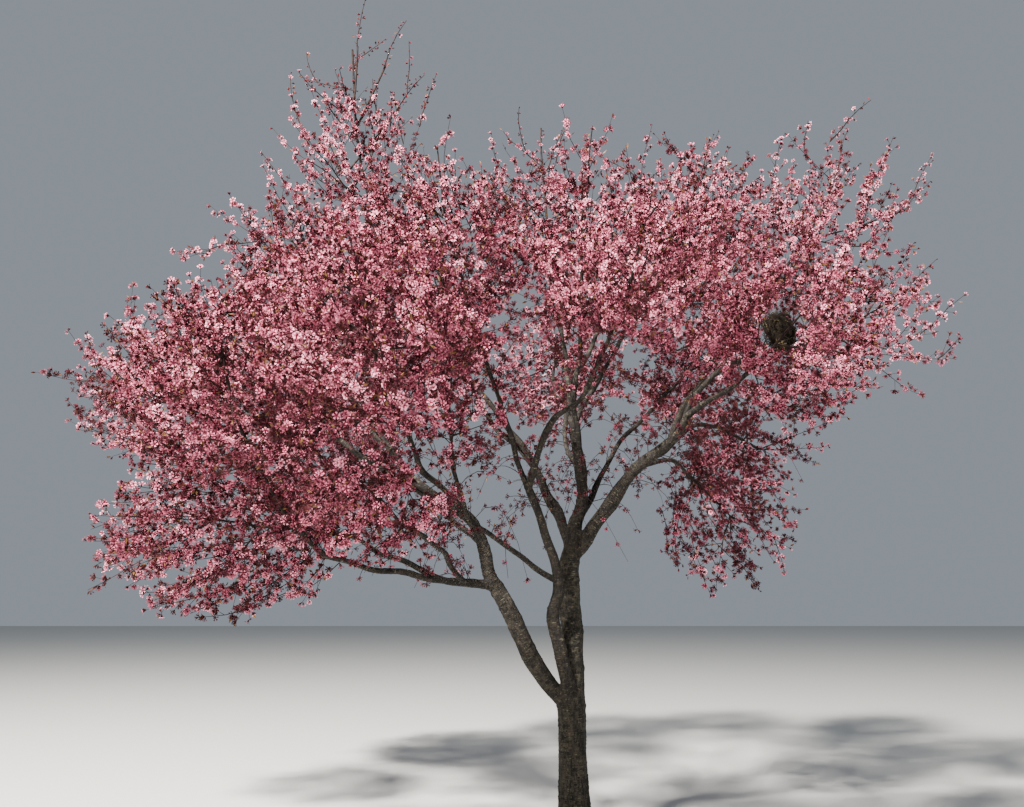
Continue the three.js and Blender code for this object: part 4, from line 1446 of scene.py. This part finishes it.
# The colour groups are dealt as painted sunlight and shade: paler with height and reach, darker on the low
# sprigs
SUNNY_HEIGHTS = (1600, 4800)
CROWN_MIDDLE = (-400, 100, 3200)
CROWN_REACH = (3300, 2800, 2800)
COLOUR_SPREAD = 0.3
COLOUR_STRAYS = (-1, 0, 0, 0, 0, 1)
SUN_FROM_HEIGHT = 0.3
SUN_FROM_REACH = 0.2
SUNNY_REACH = (0.3, 1.0)
SPRIG_SHADE = 0.35
SUNLIT_GROUPS = 3


def dealt_colours(shoots, plumes, rng):
    """Each plume's colour group, as painted sunlight and shade: paler on the crown's top and outside, deeper
    below and within.
    """
    tips = np.array([shoot.curve(1.0) for shoot in shoots])
    outward = np.linalg.norm((tips - CROWN_MIDDLE) / CROWN_REACH, axis=1)
    sun = (SUN_FROM_HEIGHT * smoothstep(tips[:, 2], *SUNNY_HEIGHTS)
           + SUN_FROM_REACH * smoothstep(outward, *SUNNY_REACH))
    shades = np.array([SPRIG_SHADE if shoot.rank == SPRIG else 0 for shoot in shoots])
    sun -= shades * (1 - smoothstep(tips[:, 2], *SPRIG_HEIGHTS))
    sun += rng.normal(0, COLOUR_SPREAD, len(shoots))
    order = 1 - np.argsort(np.argsort(sun)) / len(shoots)
    groups = np.searchsorted(np.cumsum(COLOUR_SHARES), order, side="right")
    strays = rng.choice(COLOUR_STRAYS, len(plumes))
    return (groups[plumes] + strays).clip(0, len(COLOUR_SHARES) - 1)


def make_blossom(shoots, spurs, scatter):
    """Flowers in six shades, buds, leaves, and the calyces behind the flowers and buds."""
    rng = np.random.default_rng(BLOSSOM_SEED)
    clusters, ways, plumes, shares = cluster_places(shoots + spurs, rng)
    tipward = smoothstep(shares, *TIPWARD)
    number = rng.integers(FLOWERS_A_CLUSTER[0], FLOWERS_A_CLUSTER[1] + 1, len(clusters))
    rank = np.array([shoot.rank for shoot in shoots])[plumes]
    few = (tipward > 0.5) | ((rank == SPRIG) & (clusters[:, 2] < SPRIG_HEIGHTS[0]))
    number = np.where(few, np.minimum(number, FEW_FLOWERS), number)
    heights = crest_height(clusters[:, 0], clusters[:, 2])
    sparse = np.maximum(smoothstep(heights, *SPARSE_HEIGHTS), smoothstep(clusters[:, 0], *SPARSE_RIGHT))
    number = np.maximum(1, np.round(number * (1 - SPARSE_SHARE * sparse)).astype(int))
    cluster = np.repeat(np.arange(len(clusters)), number)
    strays = rng.normal(0, FLOWER_STRAY, (len(cluster), 3))
    aims = unit(ways[cluster] + strays - (0, 0, FLOWER_DROOP))
    sizes = rng.uniform(*FLOWER_SIZES, len(cluster))
    places = clusters[cluster] + aims * (STALK_LENGTH * sizes)[:, None]
    budding = np.maximum(tipward, SPARSE_BUDS * sparse)[cluster]
    bud_shares = np.where(clusters[cluster, 2] > WHIP_HEIGHT, WHIP_BUD_SHARE, between(BUD_SHARES, budding))
    is_bud = rng.random(len(cluster)) < bud_shares
    is_leaf = rng.random(len(cluster)) < LEAF_SHARE
    groups = dealt_colours(shoots, plumes, rng)[cluster]
    in_sun = groups < SUNLIT_GROUPS
    flower, stalk = hidden_form(flower_form()), hidden_form(stalk_form())
    calyx = calyx_tissue()
    rows = [("blossom_" + name, flower, ~is_bud & ~is_leaf & (groups == group),
             petal_tissue(name + " petal", face, claw), group + 1)
            for group, (name, (face, claw)) in enumerate(PETAL_COLOURS.items())]
    rows += [("buds", hidden_form(bud_form()), is_bud, petal_tissue("bud petal", "#98243f", "#6b152b"), 11),
             ("young_leaves", hidden_form(leaf_form()), is_leaf, leaf_tissue(), 12),
             ("calyces_in_sun", stalk, ~is_leaf & in_sun, calyx, 13),
             ("calyces_in_shade", stalk, ~is_leaf & ~in_sun, calyx, 14)]
    return [make_by(scatter, name, points_mesh(name, places[chosen], aims[chosen], sizes[chosen]),
                    {"Form": form, "Material": material, "Seed": seed})
            for name, form, chosen, material, seed in rows]


def make_twigs(shoots, spurs, tubes):
    """Each kind of shoot as tubes, with as many places along a tube and sides round it as it needs."""
    bark = young_bark("twig bark", ("#1a1211", "#2c211e"))
    young_tint = young_bark("wand bark", ("#1b0f0e", "#2e1b18"))
    pieces = []
    for name, ranks, count, sides, material in [
            ("stems_and_twigs", (STEM, TWIG), 7, 6, bark), ("wands", (WAND,), 5, 3, young_tint),
            ("spurs", (SPUR,), 2, 3, young_tint), ("sprigs", (SPRIG,), 6, 4, bark)]:
        chains = [shoot_chain(shoot, count) for shoot in shoots + spurs if shoot.rank in ranks]
        lines = chains_mesh(name + "_lines", chains)
        pieces.append(make_by(tubes, name, lines, {"Sides": sides, "Material": material}))
    return pieces


# Old nest

NEST_STALKS = 620
NEST_SEED = 7
NEST_POINTS = 6
NEST_UPRIGHT = 0.5
NEST_BAND = 0.85
NEST_ARCS = (0.3, 1.2)
NEST_SHELLS = (0.78, 1.0)
NEST_ENDS = (0.9, 1.25)
NEST_INSET = 6
NEST_LUMPS = 0.35
NEST_LUMP_SCALE = 1.6
NEST_STRAW = 16
NEST_GIRTHS = (1.8, 3.6)
NEST_TIP_GIRTH = 0.9
# Every so many stalks one hangs out of it, from low on its shell
NEST_STRANDS = 9
STRANDS_LOW = 1.2
STRANDS_FROM = 0.85
STRANDS_STRAY = 0.14
STRANDS_DROP = (0.2, 0.6)
CUP_SHARE = 0.84
CUP_BAND = 0.97
CUP_RINGS = 14
CUP_SIDES = 20


def nest_cup():
    """The dark felted cup under the stalks."""
    heights = np.linspace(-CUP_BAND, CUP_BAND, CUP_RINGS)
    middles = nest_middle + np.multiply.outer(heights, (0, 0, NEST_RADII[2] * CUP_SHARE))
    first, second = (np.tile(axis, (CUP_RINGS, 1)) for axis in ([1.0, 0.0, 0.0], [0.0, 1.0, 0.0]))
    points, faces = tube_mesh(middles, first, second, NEST_RADII[1] * CUP_SHARE * np.sqrt(1 - heights ** 2),
                              CUP_SIDES)
    mesh = lay_mesh("nest_cup", crooked(points), faces)
    mesh.materials.append(dead_stalks("felted roots", ("#0b0805", "#1c150d")))
    mesh.shade_smooth()
    return show("nest_cup", mesh)


def make_nest(tubes):
    """Stalks laid round an egg in rough rings, with loose ends, over a dark felted cup."""
    rng = np.random.default_rng(NEST_SEED)
    chains = {"nest_stalks": [], "nest_straw": []}
    for stalk in range(NEST_STALKS):
        pole = unit(rng.normal(0, 1, 3) + (0, 0, NEST_UPRIGHT))
        axes = axes_along(pole[None], pole)
        height = rng.uniform(-NEST_BAND, NEST_BAND)
        angles = rng.uniform(0, math.tau) + np.linspace(0, rng.uniform(*NEST_ARCS), NEST_POINTS)
        shell = rng.uniform(*NEST_SHELLS) * np.linspace(1, rng.uniform(*NEST_ENDS), NEST_POINTS)[:, None]
        offsets = (turned_out(angles, *axes) * math.sqrt(1 - height ** 2) + pole * height) * shell
        lumps = np.array([noise.noise(tuple(offset * NEST_LUMP_SCALE)) for offset in offsets])
        offsets = offsets * (1 + NEST_LUMPS * lumps)[:, None]
        if stalk % NEST_STRANDS == 0:
            start = unit(rng.normal(0, 1, 3) - (0, 0, STRANDS_LOW)) * STRANDS_FROM
            drop = rng.normal(0, STRANDS_STRAY, 3) - (0, 0, rng.uniform(*STRANDS_DROP))
            offsets = start + np.linspace(0, 1, NEST_POINTS)[:, None] * drop
        girths = np.linspace(rng.uniform(*NEST_GIRTHS), NEST_TIP_GIRTH, NEST_POINTS)
        kind = "nest_straw" if stalk % NEST_STRAW == 0 else "nest_stalks"
        chains[kind].append((nest_middle + offsets * (np.array(NEST_RADII) - NEST_INSET), girths))
    materials = {"nest_stalks": dead_stalks("dead twigs", ("#0b0806", "#231c12")),
                 "nest_straw": dead_stalks("straw", ("#3c3420", "#665b3b"))}
    laid = [make_by(tubes, name, chains_mesh(name, chains[name]), {"Sides": 3, "Material": material})
            for name, material in materials.items()]
    return laid + [nest_cup()]


# Studio, in metres

FLOOR_HALF = 60


def make_floor():
    """A plain pale studio floor."""
    half = FLOOR_HALF / MM
    corners = [(-half, -half, 0), (half, -half, 0), (half, half, 0), (-half, half, 0)]
    floor = show("floor", lay_mesh("floor", corners, [(0, 1, 2, 3)]))
    material, tree = new_material("studio floor")
    finish_material(tree, {"Base Color": colour("#c3c2bf"), "Roughness": 0.95})
    floor.data.materials.append(material)


def add_light(name, place, aim, size, power, tint):
    """A soft round panel that faces its aim."""
    data = bpy.data.lights.new(name, "AREA")
    data.shape = "DISK"
    data.size = size
    data.energy = power
    data.color = colour(tint)[:3]
    light = bpy.data.objects.new(name, data)
    light.location = place
    light.rotation_euler = (Vector(aim) - Vector(place)).to_track_quat("-Z", "Y").to_euler()
    bpy.context.scene.collection.objects.link(light)


def make_studio():
    make_floor()
    add_light("key", (-6.5, -8.5, 14.0), (-0.3, 0, 3.2), 1.4, 20000, "#fffaf2")
    add_light("fill", (10.0, -7.0, 6.0), (0, 0, 3.2), 8.0, 150, "#e6eeff")
    world = bpy.data.worlds.new("pale room")
    world.use_nodes = True
    world.node_tree.nodes.clear()
    sky = add(world.node_tree, "ShaderNodeBackground", {"Color": colour("#d9e4f1"), "Strength": 0.38})
    add(world.node_tree, "ShaderNodeOutputWorld", {"Surface": sky})
    bpy.context.scene.world = world


# Camera: at eye height in front of the tree, tilted up
IMAGE_WIDTH = 1024
FOCAL_PIXELS = 890
CAMERA_PLACE = (-0.42, -6.4, 1.55)
CAMERA_PITCH = 12.7


def make_camera():
    data = bpy.data.cameras.new("camera")
    data.sensor_width = 36
    data.lens = FOCAL_PIXELS / IMAGE_WIDTH * data.sensor_width
    camera = bpy.data.objects.new("camera", data)
    camera.location = CAMERA_PLACE
    camera.rotation_euler = (math.radians(90 + CAMERA_PITCH), 0, 0)
    bpy.context.scene.collection.objects.link(camera)
    bpy.context.scene.camera = camera


make_camera()
make_studio()
tubes, scatter = tube_tree(), scatter_tree()
bark = cherry_bark()
trunk_and_stems = make_trunk_and_stems(bark)
boughs = make_boughs(bark)
shoots, spurs = grow_shoots()
twigs = make_twigs(shoots, spurs, tubes)
blossom = make_blossom(shoots, spurs, scatter)
nest = make_nest(tubes)

for piece, slot, nodes in [
        (trunk_and_stems, "bark", ["trunk", *THICK_LIMBS]),
        (boughs, "bark", [name for name in LIMBS if name not in THICK_LIMBS]),
        *((piece, "bark", list(MASSES)) for piece in twigs),
        *((piece, "blossom", list(MASSES)) for piece in blossom),
        *((piece, "nest", ["old_nest"]) for piece in nest)]:
    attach(piece, "root")
    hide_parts(*nodes)
